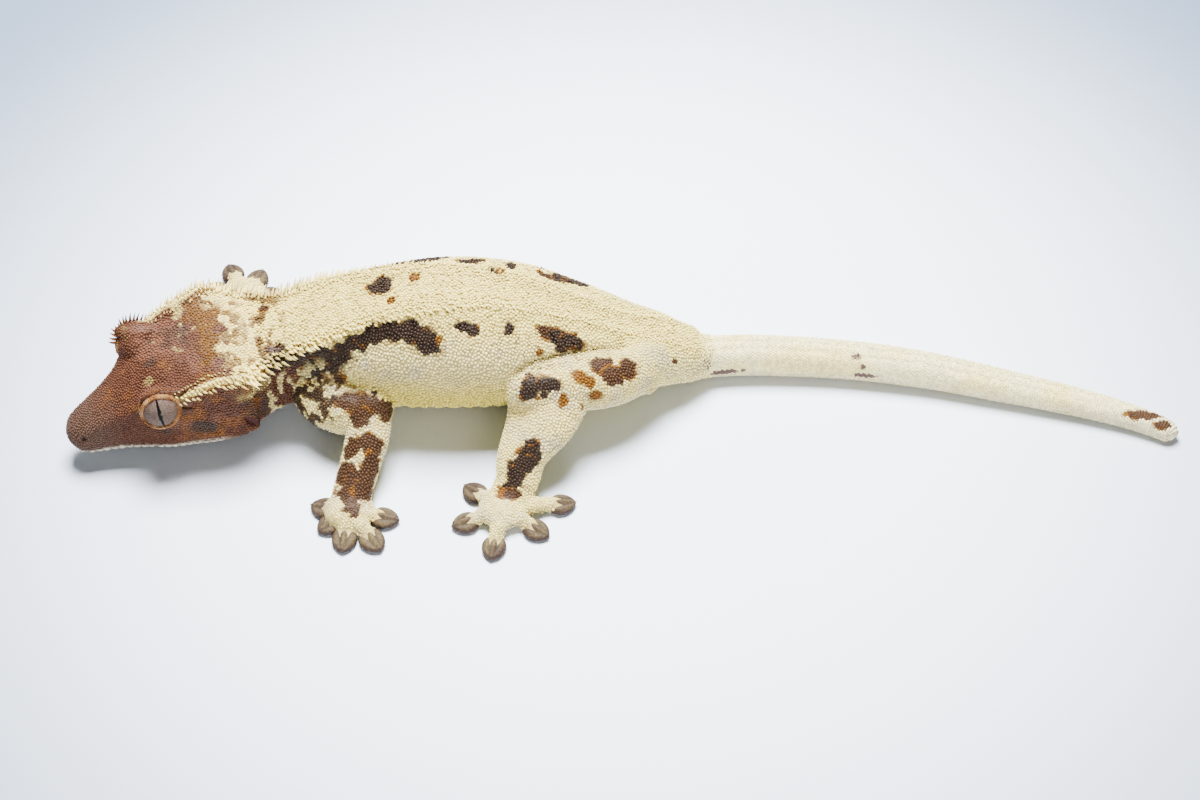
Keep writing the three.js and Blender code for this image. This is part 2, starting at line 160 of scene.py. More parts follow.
def noise(points: np.ndarray, size: float, seed: int = 0, octaves: int = 2) -> np.ndarray:
    """Smooth noise from -1 to 1, blended from hashed values at the corners of cubes of the given size.

    Args:
        points: places, in millimetres.
        size: the width of the largest patches.
        seed: chooses another pattern.
        octaves: how many finer layers are added, each half as wide and half as strong.

    Returns:
        The noise at each place.
    """
    total = np.zeros(points.shape[:-1])
    strength = 1.0
    whole = 0.0
    for octave in range(octaves):
        place = points / size * (2.0**octave) + 17.3 * octave
        base = np.floor(place)
        f = place - base
        f = f * f * (3.0 - 2.0 * f)
        value = np.zeros(points.shape[:-1])
        for corner in np.ndindex(2, 2, 2):
            weight = np.ones(points.shape[:-1])
            for axis in range(3):
                weight = weight * (f[..., axis] if corner[axis] else 1.0 - f[..., axis])
            value += weight * hashed(base + np.array(corner), seed + 31 * octave)
        total += strength * (2.0 * value - 1.0)
        whole += strength
        strength *= 0.5
    return total / whole


def blend(first: np.ndarray, second: np.ndarray, share: np.ndarray) -> np.ndarray:
    """Mixes two sets of colours by a share for each point."""
    return first + (np.asarray(second) - first) * share[..., None]


def along(table: np.ndarray, t: np.ndarray) -> np.ndarray:
    """Reads a table of stations between its rows, on cubics with slopes from the neighbouring rows.

    Args:
        table: one row for each station.
        t: places, counted in stations.

    Returns:
        A row of values for each place.
    """
    last = len(table) - 1
    i = np.clip(np.floor(t).astype(int), 0, last - 1)
    u = (t - i)[..., None]
    before, start = table[np.maximum(i - 1, 0)], table[i]
    end, after = table[i + 1], table[np.minimum(i + 2, last)]
    slope_start = (end - before) / 2.0
    slope_end = (after - start) / 2.0
    return (
        start * (1.0 + u * u * (2.0 * u - 3.0))
        + end * (u * u * (3.0 - 2.0 * u))
        + slope_start * u * (u - 1.0) ** 2
        + slope_end * u * u * (u - 1.0)
    )


@dataclass(frozen=True)
class HeadPlace:
    """Where the head is: the tip of the snout, and how far the head turns and leans to the left."""

    tip: tuple[float, float] = (-96.8, -13.5)
    yaw: float = 24.0
    roll: float = 9.0

    @property
    def forward(self) -> np.ndarray:
        """Direction of the snout over the floor."""
        return -np.array([math.cos(math.radians(self.yaw)), math.sin(math.radians(self.yaw))])

    @property
    def lean(self) -> float:
        """Drop for each millimetre to the left."""
        return math.tan(math.radians(self.roll))

    def point(self, back: np.ndarray, left: np.ndarray, up: np.ndarray) -> np.ndarray:
        """Places a point of the head on the table.

        Args:
            back: distance behind the tip of the snout.
            left: distance to the animal's left of the middle of the head.
            up: height before the head leans.

        Returns:
            Its coordinates on the table.
        """
        back, left, up = np.broadcast_arrays(np.asarray(back, float), left, up)
        fx, fy = self.forward
        x = self.tip[0] - fx * back - fy * left
        y = self.tip[1] - fy * back + fx * left
        return np.stack([x, y, up - self.lean * left], axis=-1)

    def local(self, points: np.ndarray) -> tuple[np.ndarray, np.ndarray, np.ndarray]:
        """Gives back, left and up of points on the table, the reverse of point()."""
        fx, fy = self.forward
        dx = points[..., 0] - self.tip[0]
        dy = points[..., 1] - self.tip[1]
        back = -(dx * fx + dy * fy)
        left = -dx * fy + dy * fx
        return back, left, points[..., 2] + self.lean * left


HEAD = HeadPlace()


def head_row(back: float, *sizes: float) -> list[float]:
    """A head station: half, mid, top, bottom, square, crest and crest angle at a distance from the snout."""
    x, y, _ = HEAD.point(back, 0.0, 0.0)
    return [x, y, *sizes, HEAD.lean]


def body_row(x: float, y: float, *sizes: float) -> list[float]:
    """A station behind the head: its place on the table, then the same sizes."""
    return [x, y, *sizes, 0.0]


# Columns: x, y, half width, height of the widest place, top, bottom, squareness, crest, crest angle, lean.
BODY = np.array([
    head_row(0, 1.2, 6.0, 7.2, 4.9, 2.0, 0.0, 50),
    head_row(0.8, 2.9, 5.9, 8.3, 3.9, 2.1, 0.0, 50),
    head_row(2.2, 4.1, 5.9, 9.5, 3.3, 2.2, 0.1, 50),
    head_row(5, 4.6, 6.1, 11.1, 2.9, 2.3, 0.3, 52),
    head_row(9, 5.7, 6.6, 13.2, 2.8, 2.4, 0.6, 52),
    head_row(13, 7.4, 7.1, 15.8, 2.8, 2.6, 1.5, 50),
    head_row(17, 9.3, 7.6, 17.9, 2.8, 2.7, 2.6, 48),
    head_row(21, 10.4, 8.0, 19.2, 2.8, 2.8, 2.5, 46),
    head_row(26, 11.9, 8.4, 20.2, 2.8, 2.7, 2.7, 48),
    head_row(31, 12.3, 8.8, 20.7, 2.8, 2.6, 3.0, 45),
    head_row(34, 10.8, 9.3, 20.1, 2.8, 2.5, 2.4, 41),
    body_row(-58.8, 2.4, 9.5, 10.2, 19.8, 2.8, 2.4, 1.5, 44),
    body_row(-52, 3.7, 10.8, 11.2, 21.6, 2.6, 2.3, 1.2, 50),
    body_row(-45, 4.6, 12.4, 12.2, 23.4, 2.4, 2.2, 0.9, 56),
    body_row(-36, 4.8, 14.0, 13.2, 25.6, 2.2, 2.2, 0.6, 63),
    body_row(-26, 5.1, 14.6, 13.8, 26.0, 2.0, 2.2, 0.5, 68),
    body_row(-15, 5.4, 14.0, 13.6, 24.2, 2.0, 2.2, 0.5, 70),
    body_row(-5, 5.5, 12.1, 12.2, 20.2, 2.2, 2.2, 0.5, 70),
    body_row(5, 5.6, 9.6, 10.4, 15.3, 2.4, 2.2, 0.4, 66),
    body_row(12, 6.2, 7.6, 8.2, 13.4, 2.0, 2.2, 0.3, 62),
    body_row(18, 7.0, 4.9, 5.2, 10.2, 0.8, 2.2, 0.15, 56),
    body_row(21, 7.5, 4.0, 3.9, 8.2, 0.0, 2.2, 0.05, 55),
    body_row(30, 8.0, 3.9, 3.8, 7.8, -0.3, 2.3, 0.0, 55),
    body_row(45, 7.2, 3.8, 3.6, 7.3, -0.3, 2.3, 0.0, 55),
    body_row(60, 5.0, 3.65, 3.4, 6.8, -0.3, 2.3, 0.0, 55),
    body_row(75, 1.3, 3.3, 3.0, 6.0, -0.3, 2.3, 0.0, 55),
    body_row(88, -2.2, 2.95, 2.6, 5.2, -0.3, 2.3, 0.0, 55),
    body_row(97, -5.2, 2.6, 2.3, 4.6, -0.3, 2.3, 0.0, 55),
    body_row(102.5, -7.5, 2.5, 2.0, 4.1, -0.3, 2.2, 0.0, 55),
    body_row(105.2, -9.2, 2.2, 1.8, 3.6, -0.3, 2.1, 0.0, 55),
    body_row(106.0, -10.2, 1.2, 1.7, 2.7, 0.4, 2.0, 0.0, 55),
])
LAST = len(BODY) - 1
SKULL_END = 10.4
TAIL_START = 21.0
Y, HALF, TOP, CREST_ANGLE = 1, 2, 4, 8  # columns of BODY


def behind_skull(x: np.ndarray, column: int) -> np.ndarray:
    """Reads a column of the stations behind the skull at places along the table."""
    return np.interp(x, BODY[10:, 0], BODY[10:, column])


def body_surface(t: np.ndarray, a: np.ndarray, grow: float = 0.0) -> np.ndarray:
    """Points of the body: upright superellipses, each with a bell-shaped ridge at its crest angle.

    Args:
        t: place along the body, in stations.
        a: angle round the section, 0 on the left flank and a quarter turn on the back.
        grow: distance added outwards.

    Returns:
        A point for each pair of t and a.
    """
    t, a = np.broadcast_arrays(np.asarray(t, float), np.asarray(a, float))
    step = 0.01
    way = unit(along(BODY[:, :2], np.minimum(t + step, LAST)) - along(BODY[:, :2], np.maximum(t - step, 0.0)))
    x, y, half, mid, top, bottom, square, crest, angle, lean = np.moveaxis(along(BODY, t), -1, 0)
    c, s = np.cos(a), np.sin(a)
    height = np.where(s >= 0.0, top - mid, mid - bottom)
    power = np.where(s >= 0.0, square, 2.4)
    reach = (np.abs(c) / half) ** power + (np.abs(s) / height) ** power
    reach = reach ** (-1.0 / power) + grow
    crest_angle = np.radians(angle)
    off = np.arctan2(s, np.abs(c)) - crest_angle
    ridge = crest * bell(off, CREST_WIDTH)
    side = reach * c + np.sign(c) * ridge * np.cos(crest_angle)
    rise = reach * s + ridge * np.sin(crest_angle) - lean * side
    return np.stack([x + way[..., 1] * side, y - way[..., 0] * side, mid + rise], axis=-1)


def limb_surface(table: np.ndarray, t: np.ndarray, a: np.ndarray, grow: float = 0.0) -> np.ndarray:
    """Points of a limb: ellipses square to its path, with one axis level.

    Args:
        table: stations of x, y, z, half width across and half thickness.
        t: place along the path, in stations.
        a: angle round the section.
        grow: distance added outwards.

    Returns:
        A point for each pair of t and a.
    """
    t, a = np.broadcast_arrays(np.asarray(t, float), np.asarray(a, float))
    last = len(table) - 1
    path = table[:, :3]
    way = unit(along(path, np.minimum(t + 0.02, last)) - along(path, np.maximum(t - 0.02, 0.0)))
    across = unit(np.cross(way, np.array([0.0, 0.0, 1.0])))
    thick = unit(np.cross(across, way))
    row = along(table, t)
    half = row[..., 3] + grow
    depth = row[..., 4] + grow
    return row[..., :3] + across * (half * np.cos(a))[..., None] + thick * (depth * np.sin(a))[..., None]


def ball_surface(
    centre: np.ndarray, sizes: tuple[float, float, float], u: np.ndarray, v: np.ndarray
) -> np.ndarray:
    """Points of an ellipsoid, u from pole to pole and v round it."""
    u, v = np.broadcast_arrays(u, v)
    shape = np.stack([np.sin(u) * np.cos(v), np.sin(u) * np.sin(v), np.cos(u)], axis=-1)
    return np.asarray(centre) + shape * np.asarray(sizes)


@dataclass(frozen=True)
class Limb:
    """One leg: stations of its upper and lower lengths, the ball at their joint, and its foot."""

    nodes: tuple[str, str, str]
    upper: np.ndarray
    joint: float
    lower: np.ndarray
    palm: tuple[float, float]
    tips: tuple[tuple[float, float], ...]
    pad: float


LIMBS = (
    Limb(
        ("left_upper_arm", "left_forearm", "left_front_foot"),
        np.array([[-51.5, 1.5, 9.6, 7.0, 5.8], [-49.6, -5.2, 8.2, 6.8, 5.6], [-45.6, -9.0, 8.2, 5.4, 4.8],
                  [-41.4, -9.6, 9.2, 4.2, 3.9]]),
        4.2,
        np.array([[-41.6, -9.6, 9.0, 4.0, 3.7], [-42.1, -14.6, 7.0, 4.2, 3.4], [-43.5, -20.0, 4.5, 3.9, 2.8],
                  [-44.8, -25.2, 2.6, 4.0, 2.2]]),
        (-45.0, -27.2),
        ((-52.0, -25.4), (-50.2, -31.2), (-45.6, -35.7), (-38.8, -35.4), (-36.0, -28.8)), 2.3,
    ),
    Limb(
        ("right_upper_arm", "right_forearm", "right_front_foot"),
        np.array([[-50.5, 6.5, 10.5, 5.6, 5.0], [-53.5, 12.4, 10.8, 4.8, 4.4], [-57.2, 15.8, 9.4, 4.0, 3.8]]),
        3.9,
        np.array([[-57.2, 15.8, 9.2, 3.9, 3.6], [-62.0, 17.6, 6.0, 4.2, 3.2], [-66.4, 20.4, 4.0, 3.9, 2.7],
                  [-69.4, 23.0, 2.5, 3.7, 2.1]]),
        (-69.6, 25.2),
        ((-77.0, 22.6), (-78.0, 28.4), (-74.0, 34.4), (-67.0, 33.0), (-62.2, 26.6)), 2.2,
    ),
    Limb(
        ("left_thigh", "left_shin", "left_hind_foot"),
        np.array([[10.0, 3.6, 9.0, 5.4, 5.2], [2.5, -2.5, 10.2, 6.1, 5.4], [-5.5, -5.6, 11.8, 6.0, 5.2],
                  [-12.8, -8.4, 12.6, 4.6, 4.6]]),
        4.8,
        np.array([[-8.8, -7.6, 11.0, 7.6, 4.6], [-10.9, -12.8, 9.0, 6.8, 3.8], [-13.9, -17.8, 6.2, 4.9, 3.2],
                  [-15.0, -22.0, 3.7, 4.3, 2.7], [-16.6, -24.8, 2.4, 4.0, 2.1]]),
        (-17.3, -27.0),
        ((-24.6, -20.9), (-26.4, -30.2), (-19.3, -37.3), (-9.2, -32.4), (-4.4, -24.8)), 2.2,
    ),
    Limb(
        ("right_thigh", "right_shin", "right_hind_foot"),
        np.array([[9.0, 6.5, 8.6, 5.2, 4.6], [3.0, 11.6, 8.4, 5.0, 4.2], [-4.0, 16.0, 7.4, 4.2, 3.8]]),
        3.9,
        np.array([[-3.6, 16.4, 7.0, 4.2, 3.4], [-2.4, 18.6, 5.4, 4.2, 3.0], [-0.4, 19.8, 3.8, 3.8, 2.6],
                  [1.0, 20.6, 2.4, 3.6, 2.1]]),
        (0.8, 20.6),
        ((6.6, 17.2), (7.4, 21.8), (1.8, 25.6), (-5.0, 25.8), (-8.4, 21.4)), 2.0,
    ),
)


def toe_table(palm: tuple[float, float], tip: tuple[float, float], pad: float) -> np.ndarray:
    """Stations of a toe from the palm to the root of its pad, with the pad's own width after that."""
    start, end = np.array(palm), np.array(tip)
    length = np.linalg.norm(end - start)
    share = 1.0 - pad * 1.2 / length
    rows = [
        (0.05, 1.9, 1.9, 1.7), (0.35, 1.75, 1.7, 1.6), (share - pad * 1.15 / length, 1.4, 1.35, 1.35),
        (share - pad * 0.45 / length, 1.05, pad * 0.78, 1.05), (share, 0.85, pad * 0.8, 0.85),
        ((share + 1.0) / 2.0, 0.7, pad * 0.55, 0.7), (0.97, 0.5, 0.3, 0.4),
    ]
    return np.array([[*(start + (end - start) * s), z, half, depth] for s, z, half, depth in rows])


def eye_centre(side: Side) -> np.ndarray:
    """Centre of an eyeball."""
    return HEAD.point(EYE_BACK, side.value * EYE_SIDE, EYE_HEIGHT)


def shift_to_frame() -> np.ndarray:
    """Where the table's origin is in the frame, read from the left eye's solid."""
    low, high = (np.array(corner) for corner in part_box("eye_left"))
    shift = (low + high) / 2.0 / MM - eye_centre(Side.LEFT)
    shift[2] = 0.0
    return shift


SHIFT = shift_to_frame()


# Colours of the skin, as linear red, green and blue.


@dataclass(frozen=True)
class SkinColours:
    """The animal's colours, before light and shade."""

    back: tuple[float, float, float] = (0.80, 0.67, 0.20)
    flank: tuple[float, float, float] = (0.76, 0.65, 0.28)
    lower: tuple[float, float, float] = (0.66, 0.54, 0.08)
    tail: tuple[float, float, float] = (0.84, 0.76, 0.40)
    chocolate: tuple[float, float, float] = (0.027, 0.015, 0.009)
    umber: tuple[float, float, float] = (0.056, 0.025, 0.010)
    orange: tuple[float, float, float] = (0.175, 0.068, 0.005)
    rust: tuple[float, float, float] = (0.090, 0.032, 0.016)
    snout: tuple[float, float, float] = (0.092, 0.050, 0.034)
    canthus: tuple[float, float, float] = (0.180, 0.066, 0.014)
    slate: tuple[float, float, float] = (0.036, 0.026, 0.021)
    taupe: tuple[float, float, float] = (0.044, 0.026, 0.021)
    lip: tuple[float, float, float] = (0.46, 0.40, 0.31)
    crest: tuple[float, float, float] = (0.90, 0.74, 0.24)
    plum: tuple[float, float, float] = (0.100, 0.062, 0.052)
    rose: tuple[float, float, float] = (0.190, 0.080, 0.048)
    ochre: tuple[float, float, float] = (0.135, 0.055, 0.005)
    lilac: tuple[float, float, float] = (0.52, 0.46, 0.36)
    blush: tuple[float, float, float] = (0.62, 0.38, 0.17)
    # The ear and nostril colours paint the dark inside of the openings: painted shade, over the ear's own
    # dark red.
    ear: tuple[float, float, float] = (0.060, 0.012, 0.007)
    nostril: tuple[float, float, float] = (0.009, 0.0018, 0.00105)


COLOURS = SkinColours()
MARK_SPREAD = 1.16  # of every mark, against its stated reach


@dataclass(frozen=True)
class Mark:
    """A ragged patch of colour: where its middle is on the table, how far it reaches, and its colour."""

    centre: tuple[float, float, float]
    reach: tuple[float, float, float]
    colour: str = "chocolate"
    ragged: float = 0.55
    rim: float = 0.5

    def cover(self, points: np.ndarray, seed: int, mirrored: bool = False) -> tuple[np.ndarray, np.ndarray]:
        """How much of this mark and of its orange rim lies on each point.

        The distance from the middle, as a share of the reach, is roughened by noise. The mark is where it is
        under one. The rim is the band just outside it, where a second noise is high.

        Args:
            points: places on the table.
            seed: chooses the roughness.
            mirrored: True for the same mark on the other side of the back.

        Returns:
            The shares of the mark and of its rim.
        """
        centre = np.array(self.centre)
        if mirrored:
            centre[1] = 2.0 * behind_skull(centre[0], Y) - centre[1]
        away = np.linalg.norm((points - centre) / (MARK_SPREAD * np.array(self.reach)), axis=-1)
        near = away < 2.2
        mark = np.zeros(len(points))
        rim = np.zeros(len(points))
        place = points[near]
        rough = away[near] + self.ragged * noise(place, 2.4, seed) + 0.25 * noise(place, 0.9, seed + 5)
        mark[near] = smooth(1.06, 0.94, rough)
        speck = smooth(0.0, 0.25, noise(place, 1.6, seed + 9))
        rim[near] = smooth(1.42, 1.2, rough) * speck * self.rim
        return mark, rim


TRUNK_MARKS = (
    Mark((-54.7, -6.0, 16.6), (4.6, 3.0, 2.6), rim=0.8),
    Mark((-50.3, -6.2, 17.6), (3.4, 2.4, 2.2), rim=0.8),
    Mark((-47.0, -5.6, 19.0), (3.0, 1.9, 1.7)),
    Mark((-43.7, -4.6, 21.0), (2.8, 1.7, 1.5)),
    Mark((-40.4, -4.0, 22.6), (2.8, 1.7, 1.5)),
    Mark((-37.1, -3.6, 23.5), (2.4, 1.7, 1.5)),
    Mark((-33.4, -4.2, 23.5), (2.6, 2.0, 1.9)),
    Mark((-30.9, -5.4, 22.6), (2.4, 2.3, 2.4)),
    Mark((-40.0, 6.7, 24.9), (1.9, 1.7, 1.5), rim=1.0),
    Mark((-37.7, 2.3, 25.3), (0.7, 0.7, 0.8), "orange"),
    Mark((-33.7, 7.6, 25.8), (0.9, 0.8, 0.8), "orange"),
    Mark((-61.7, 6.4, 19.9), (1.3, 1.0, 1.0), "umber", rim=1.0),
    Mark((-59.6, 5.0, 20.3), (1.0, 0.9, 1.0), "orange"),
    Mark((-57.9, 3.9, 20.3), (0.6, 0.5, 0.8), "orange"),
    Mark((-59.0, -3.6, 18.9), (1.2, 0.7, 1.0), "plum"),
    Mark((-24.4, -3.0, 24.2), (1.5, 1.1, 1.4), rim=1.0),
    Mark((-22.5, -3.4, 23.8), (1.1, 0.9, 1.4), rim=1.0),
    Mark((-16.3, -2.6, 23.0), (0.9, 1.3, 1.7), rim=1.0),
    Mark((-19.1, 10.0, 25.0), (1.1, 1.0, 1.0), rim=1.0),
    Mark((-17.8, 10.4, 24.8), (0.8, 0.7, 1.0), "orange"),
    Mark((-28.6, -5.2, 23.0), (0.6, 0.8, 1.0), "orange"),
    Mark((-10.9, -5.4, 19.6), (0.7, 0.8, 1.1), "orange"),
    Mark((-9.4, -1.4, 20.9), (1.9, 1.0, 1.2), "umber", rim=1.0),
    Mark((-7.2, -2.0, 20.0), (1.5, 1.3, 1.5), rim=1.0),
    Mark((-6.2, -3.3, 18.7), (1.8, 1.4, 1.5)),
    Mark((-4.6, -1.9, 18.9), (1.8, 1.0, 1.4), rim=1.0),
    Mark((-3.4, -3.2, 17.6), (2.2, 1.1, 0.9)),
    Mark((-1.2, -2.8, 17.6), (2.2, 0.8, 0.7)),
    Mark((9.9, -0.5, 12.9), (1.5, 0.6, 0.6), "umber", rim=1.0),
    Mark((13.5, 0.4, 10.4), (1.0, 0.6, 0.7), "umber"),
    Mark((7.2, 4.9, 15.6), (1.1, 0.6, 0.9), "plum", rim=0.2),
    Mark((-41.0, -9.6, 13.6), (0.6, 0.8, 2.2)),
    Mark((-44.6, -8.6, 13.4), (1.2, 0.9, 2.0)),
    Mark((-47.6, -7.6, 13.4), (1.2, 1.3, 1.8), "umber", rim=1.0),
)
TAIL_MARKS = (
    Mark((18.6, 2.8, 7.4), (0.7, 0.5, 1.2), "umber", rim=1.0),
    Mark((19.9, 3.4, 6.2), (0.8, 0.6, 1.3), "plum", rim=0.4),
    Mark((23.0, 4.2, 3.2), (4.0, 0.6, 0.7), "plum", rim=0.0),
    Mark((48.0, 5.2, 6.6), (0.8, 0.5, 0.8), "plum", rim=0.6),
    Mark((49.4, 4.0, 5.0), (0.5, 0.5, 0.7), "plum", rim=0.3),
    Mark((50.8, 3.4, 3.4), (3.0, 0.6, 0.5), "plum", rim=0.0),
    Mark((100.6, -6.8, 4.0), (2.6, 0.8, 0.7), "umber", rim=1.0),
    Mark((103.8, -8.8, 3.6), (1.6, 0.8, 0.6), "umber", rim=1.0),
)
LIMB_MARKS = (
    Mark((-44.7, -10.9, 12.5), (2.6, 1.6, 1.8), "umber", rim=0.8),
    Mark((-41.2, -11.6, 12.6), (2.8, 2.0, 1.9), "umber", rim=0.8),
    Mark((-38.4, -11.8, 10.8), (1.6, 2.2, 2.0), "umber", rim=0.4),
    Mark((-43.4, -13.6, 10.9), (1.9, 1.4, 1.6), "umber", rim=0.8),
    Mark((-44.8, -17.8, 8.4), (1.9, 1.6, 2.0), "umber", rim=1.0),
    Mark((-41.6, -17.6, 8.8), (2.2, 1.5, 2.0), "umber", rim=1.0),
    Mark((-40.6, -20.4, 6.9), (1.5, 1.6, 1.8), "umber", rim=1.0),
    Mark((-45.4, -21.8, 6.2), (1.7, 1.8, 2.0), "umber", rim=1.0),
    Mark((-42.8, -22.8, 6.0), (2.1, 1.6, 2.0), "umber", rim=1.0),
    Mark((-44.6, -25.4, 4.8), (1.9, 1.7, 2.0), "umber", rim=1.0),
    Mark((-42.2, -25.6, 4.6), (1.6, 1.5, 2.0), "umber", rim=1.0),
    Mark((-44.0, -28.2, 3.8), (1.4, 1.4, 1.4), "umber", 0.8, 1.0),
    Mark((-13.2, -9.3, 16.9), (1.8, 1.1, 1.2), rim=1.0),
    Mark((-11.5, -10.2, 16.4), (2.2, 1.6, 1.6), rim=0.6),
    Mark((-9.6, -9.8, 16.3), (1.9, 1.3, 1.5), rim=0.8),
    Mark((-8.0, -10.2, 15.8), (0.9, 0.8, 1.0), rim=1.0),
    Mark((-12.8, -11.6, 15.6), (1.5, 1.3, 1.4), rim=1.0),
    Mark((-10.0, -11.4, 15.2), (0.8, 0.8, 0.9), rim=1.0),
    Mark((-6.6, -12.0, 13.6), (0.7, 0.9, 0.9), "orange", 0.9),
    Mark((-3.4, -8.2, 16.6), (1.2, 1.0, 1.5), "orange", 0.8),
    Mark((-1.8, -8.6, 15.0), (1.0, 1.0, 1.3), "orange", 0.8),
    Mark((-1.6, -9.8, 12.8), (1.2, 0.8, 0.8), "orange", 1.1),
    Mark((-3.4, -11.4, 11.8), (0.6, 0.9, 0.9), "canthus", 1.1),
    Mark((0.6, -5.2, 15.6), (1.7, 1.9, 1.8), "umber", rim=1.0),
    Mark((2.8, -6.4, 14.6), (1.9, 1.5, 2.0), "umber", rim=1.0),
    Mark((5.2, -4.4, 14.4), (1.3, 1.3, 1.5), "umber", rim=1.0),
    Mark((-7.6, -14.4, 10.8), (0.6, 0.8, 0.9), "orange", 1.1),
    Mark((-12.2, -18.8, 9.4), (1.2, 1.5, 1.4), rim=1.0),
    Mark((-13.0, -20.2, 8.4), (2.0, 1.6, 1.7), rim=1.0),
    Mark((-14.3, -21.6, 7.3), (2.2, 1.6, 1.8), rim=0.8),
    Mark((-15.6, -22.8, 6.3), (1.7, 1.4, 1.4), rim=0.8),
    Mark((-16.8, -24.4, 5.0), (1.4, 1.3, 1.4), rim=1.0),
    Mark((-17.4, -25.6, 4.2), (1.2, 0.8, 1.2), "orange", rim=1.0),
    Mark((-15.2, -25.7, 4.5), (1.3, 0.7, 1.0), "umber", 0.8, 1.0),
    Mark((-57.0, 15.8, 12.6), (3.4, 2.6, 2.2), "umber", rim=0.4),
    Mark((-63.8, 19.0, 7.4), (2.0, 2.6, 2.6), "umber", rim=0.8),
    Mark((4.6, 12.4, 11.6), (3.0, 2.6, 2.2), rim=0.8),
    Mark((-2.6, 18.8, 8.0), (2.2, 2.4, 2.6), rim=0.8),
)
MIRRORED_MARKS = TRUNK_MARKS[:9] + TRUNK_MARKS[15:19] + TRUNK_MARKS[21:28]


@dataclass(frozen=True)
class Groove:
    """A fold pressed into the skin along a line of points, deepest in the middle of its length."""

    line: tuple[tuple[float, float, float], ...]
    depth: float
    width: float

    def press(self, points: np.ndarray, samples: int = 60) -> np.ndarray:
        """How strongly the fold is felt, from 0 to 1: a bell across it that fades to both ends.

        Args:
            points: places on the table.
            samples: points of the fold's line that are tried.

        Returns:
            The share at each place.
        """
        line = np.array(self.line)
        table = along(line, np.linspace(0.0, len(line) - 1.0, samples))
        felt = np.zeros(len(points))
        reach = self.width * 3.0
        low, high = table.min(axis=0) - reach, table.max(axis=0) + reach
        near = ((points > low) & (points < high)).all(axis=-1)
        gap = np.linalg.norm(points[near][:, None, :] - table[None], axis=-1)
        share = gap.argmin(axis=1) / (samples - 1.0)
        felt[near] = bell(gap.min(axis=1), self.width) * np.sin(math.pi * (0.08 + 0.84 * share))
        return felt


GROOVES = (
    Groove(
        ((-15.6, -8.4, 16.9), (-12.7, -7.0, 18.2), (-9.0, -5.6, 18.3), (-4.5, -3.6, 17.7), (0.0, -1.6, 16.5),
         (4.6, 0.2, 15.0)),
        1.5, 0.7,
    ),
    Groove(((-47.6, -3.4, 12.6), (-45.4, -7.0, 13.4), (-43.7, -9.4, 12.9)), 0.6, 0.35),
    Groove(((-45.4, -6.4, 17.0), (-43.5, -7.8, 14.7), (-42.4, -9.2, 13.1)), 0.6, 0.32),
    Groove(((-41.6, -7.9, 15.9), (-40.6, -9.0, 13.6), (-40.0, -10.4, 12.9)), 0.7, 0.36),
    Groove(((-49.4, -6.2, 16.0), (-47.4, -7.6, 13.4), (-46.4, -9.6, 12.0)), 0.4, 0.32),
)


def fold_depth(points: np.ndarray) -> tuple[np.ndarray, np.ndarray]:
    """Depth of all the folds at each point, and how much painted shade lies in them."""
    felt = [groove.press(points) for groove in GROOVES]
    depth = sum(groove.depth * share for groove, share in zip(GROOVES, felt))
    return depth, np.clip(sum(share**3 for share in felt), 0.0, 1.0)


def ear_oval(back: np.ndarray, up: np.ndarray, half_width: float, half_height: float) -> np.ndarray:
    """Distance from the middle of the ear, as a share of a slanted oval's own half sizes."""
    return np.hypot((back - EAR_BACK + 0.5 * (up - EAR_UP)) / half_width, (up - EAR_UP) / half_height)


@dataclass
class Coat:
    """Colours at points of the table, laid one over another."""

    points: np.ndarray
    colour: np.ndarray

    def lay(self, name: str, share: np.ndarray) -> None:
        """Blends in one of the animal's colours, by a share for each point."""
        self.colour = blend(self.colour, getattr(COLOURS, name), share)

    def patches(
        self, low: float, high: float, size: float, seed: int, octaves: int = 3,
        squeeze: tuple[float, float, float] = (1.0, 1.0, 1.0),
    ) -> np.ndarray:
        """Works out patches of noise, 0 outside and 1 inside.

        Args:
            low: level of the noise at the outer edge of a patch.
            high: level at its inner edge.
            size: width of the largest patches.
            seed: chooses another pattern.
            octaves: layers of the noise.
            squeeze: how much narrower the patches are along each axis.

        Returns:
            The share of a patch at each point.
        """
        return smooth(low, high, noise(self.points * np.array(squeeze), size, seed, octaves))

    def marks(self, marks: tuple[Mark, ...], seed: int, mirrored: bool = False) -> None:
        """Lays each mark over its rim."""
        for number, mark in enumerate(marks):
            cover, rim = mark.cover(self.points, seed + 3 * number, mirrored)
            self.lay("orange", rim)
            self.lay(mark.colour, cover)


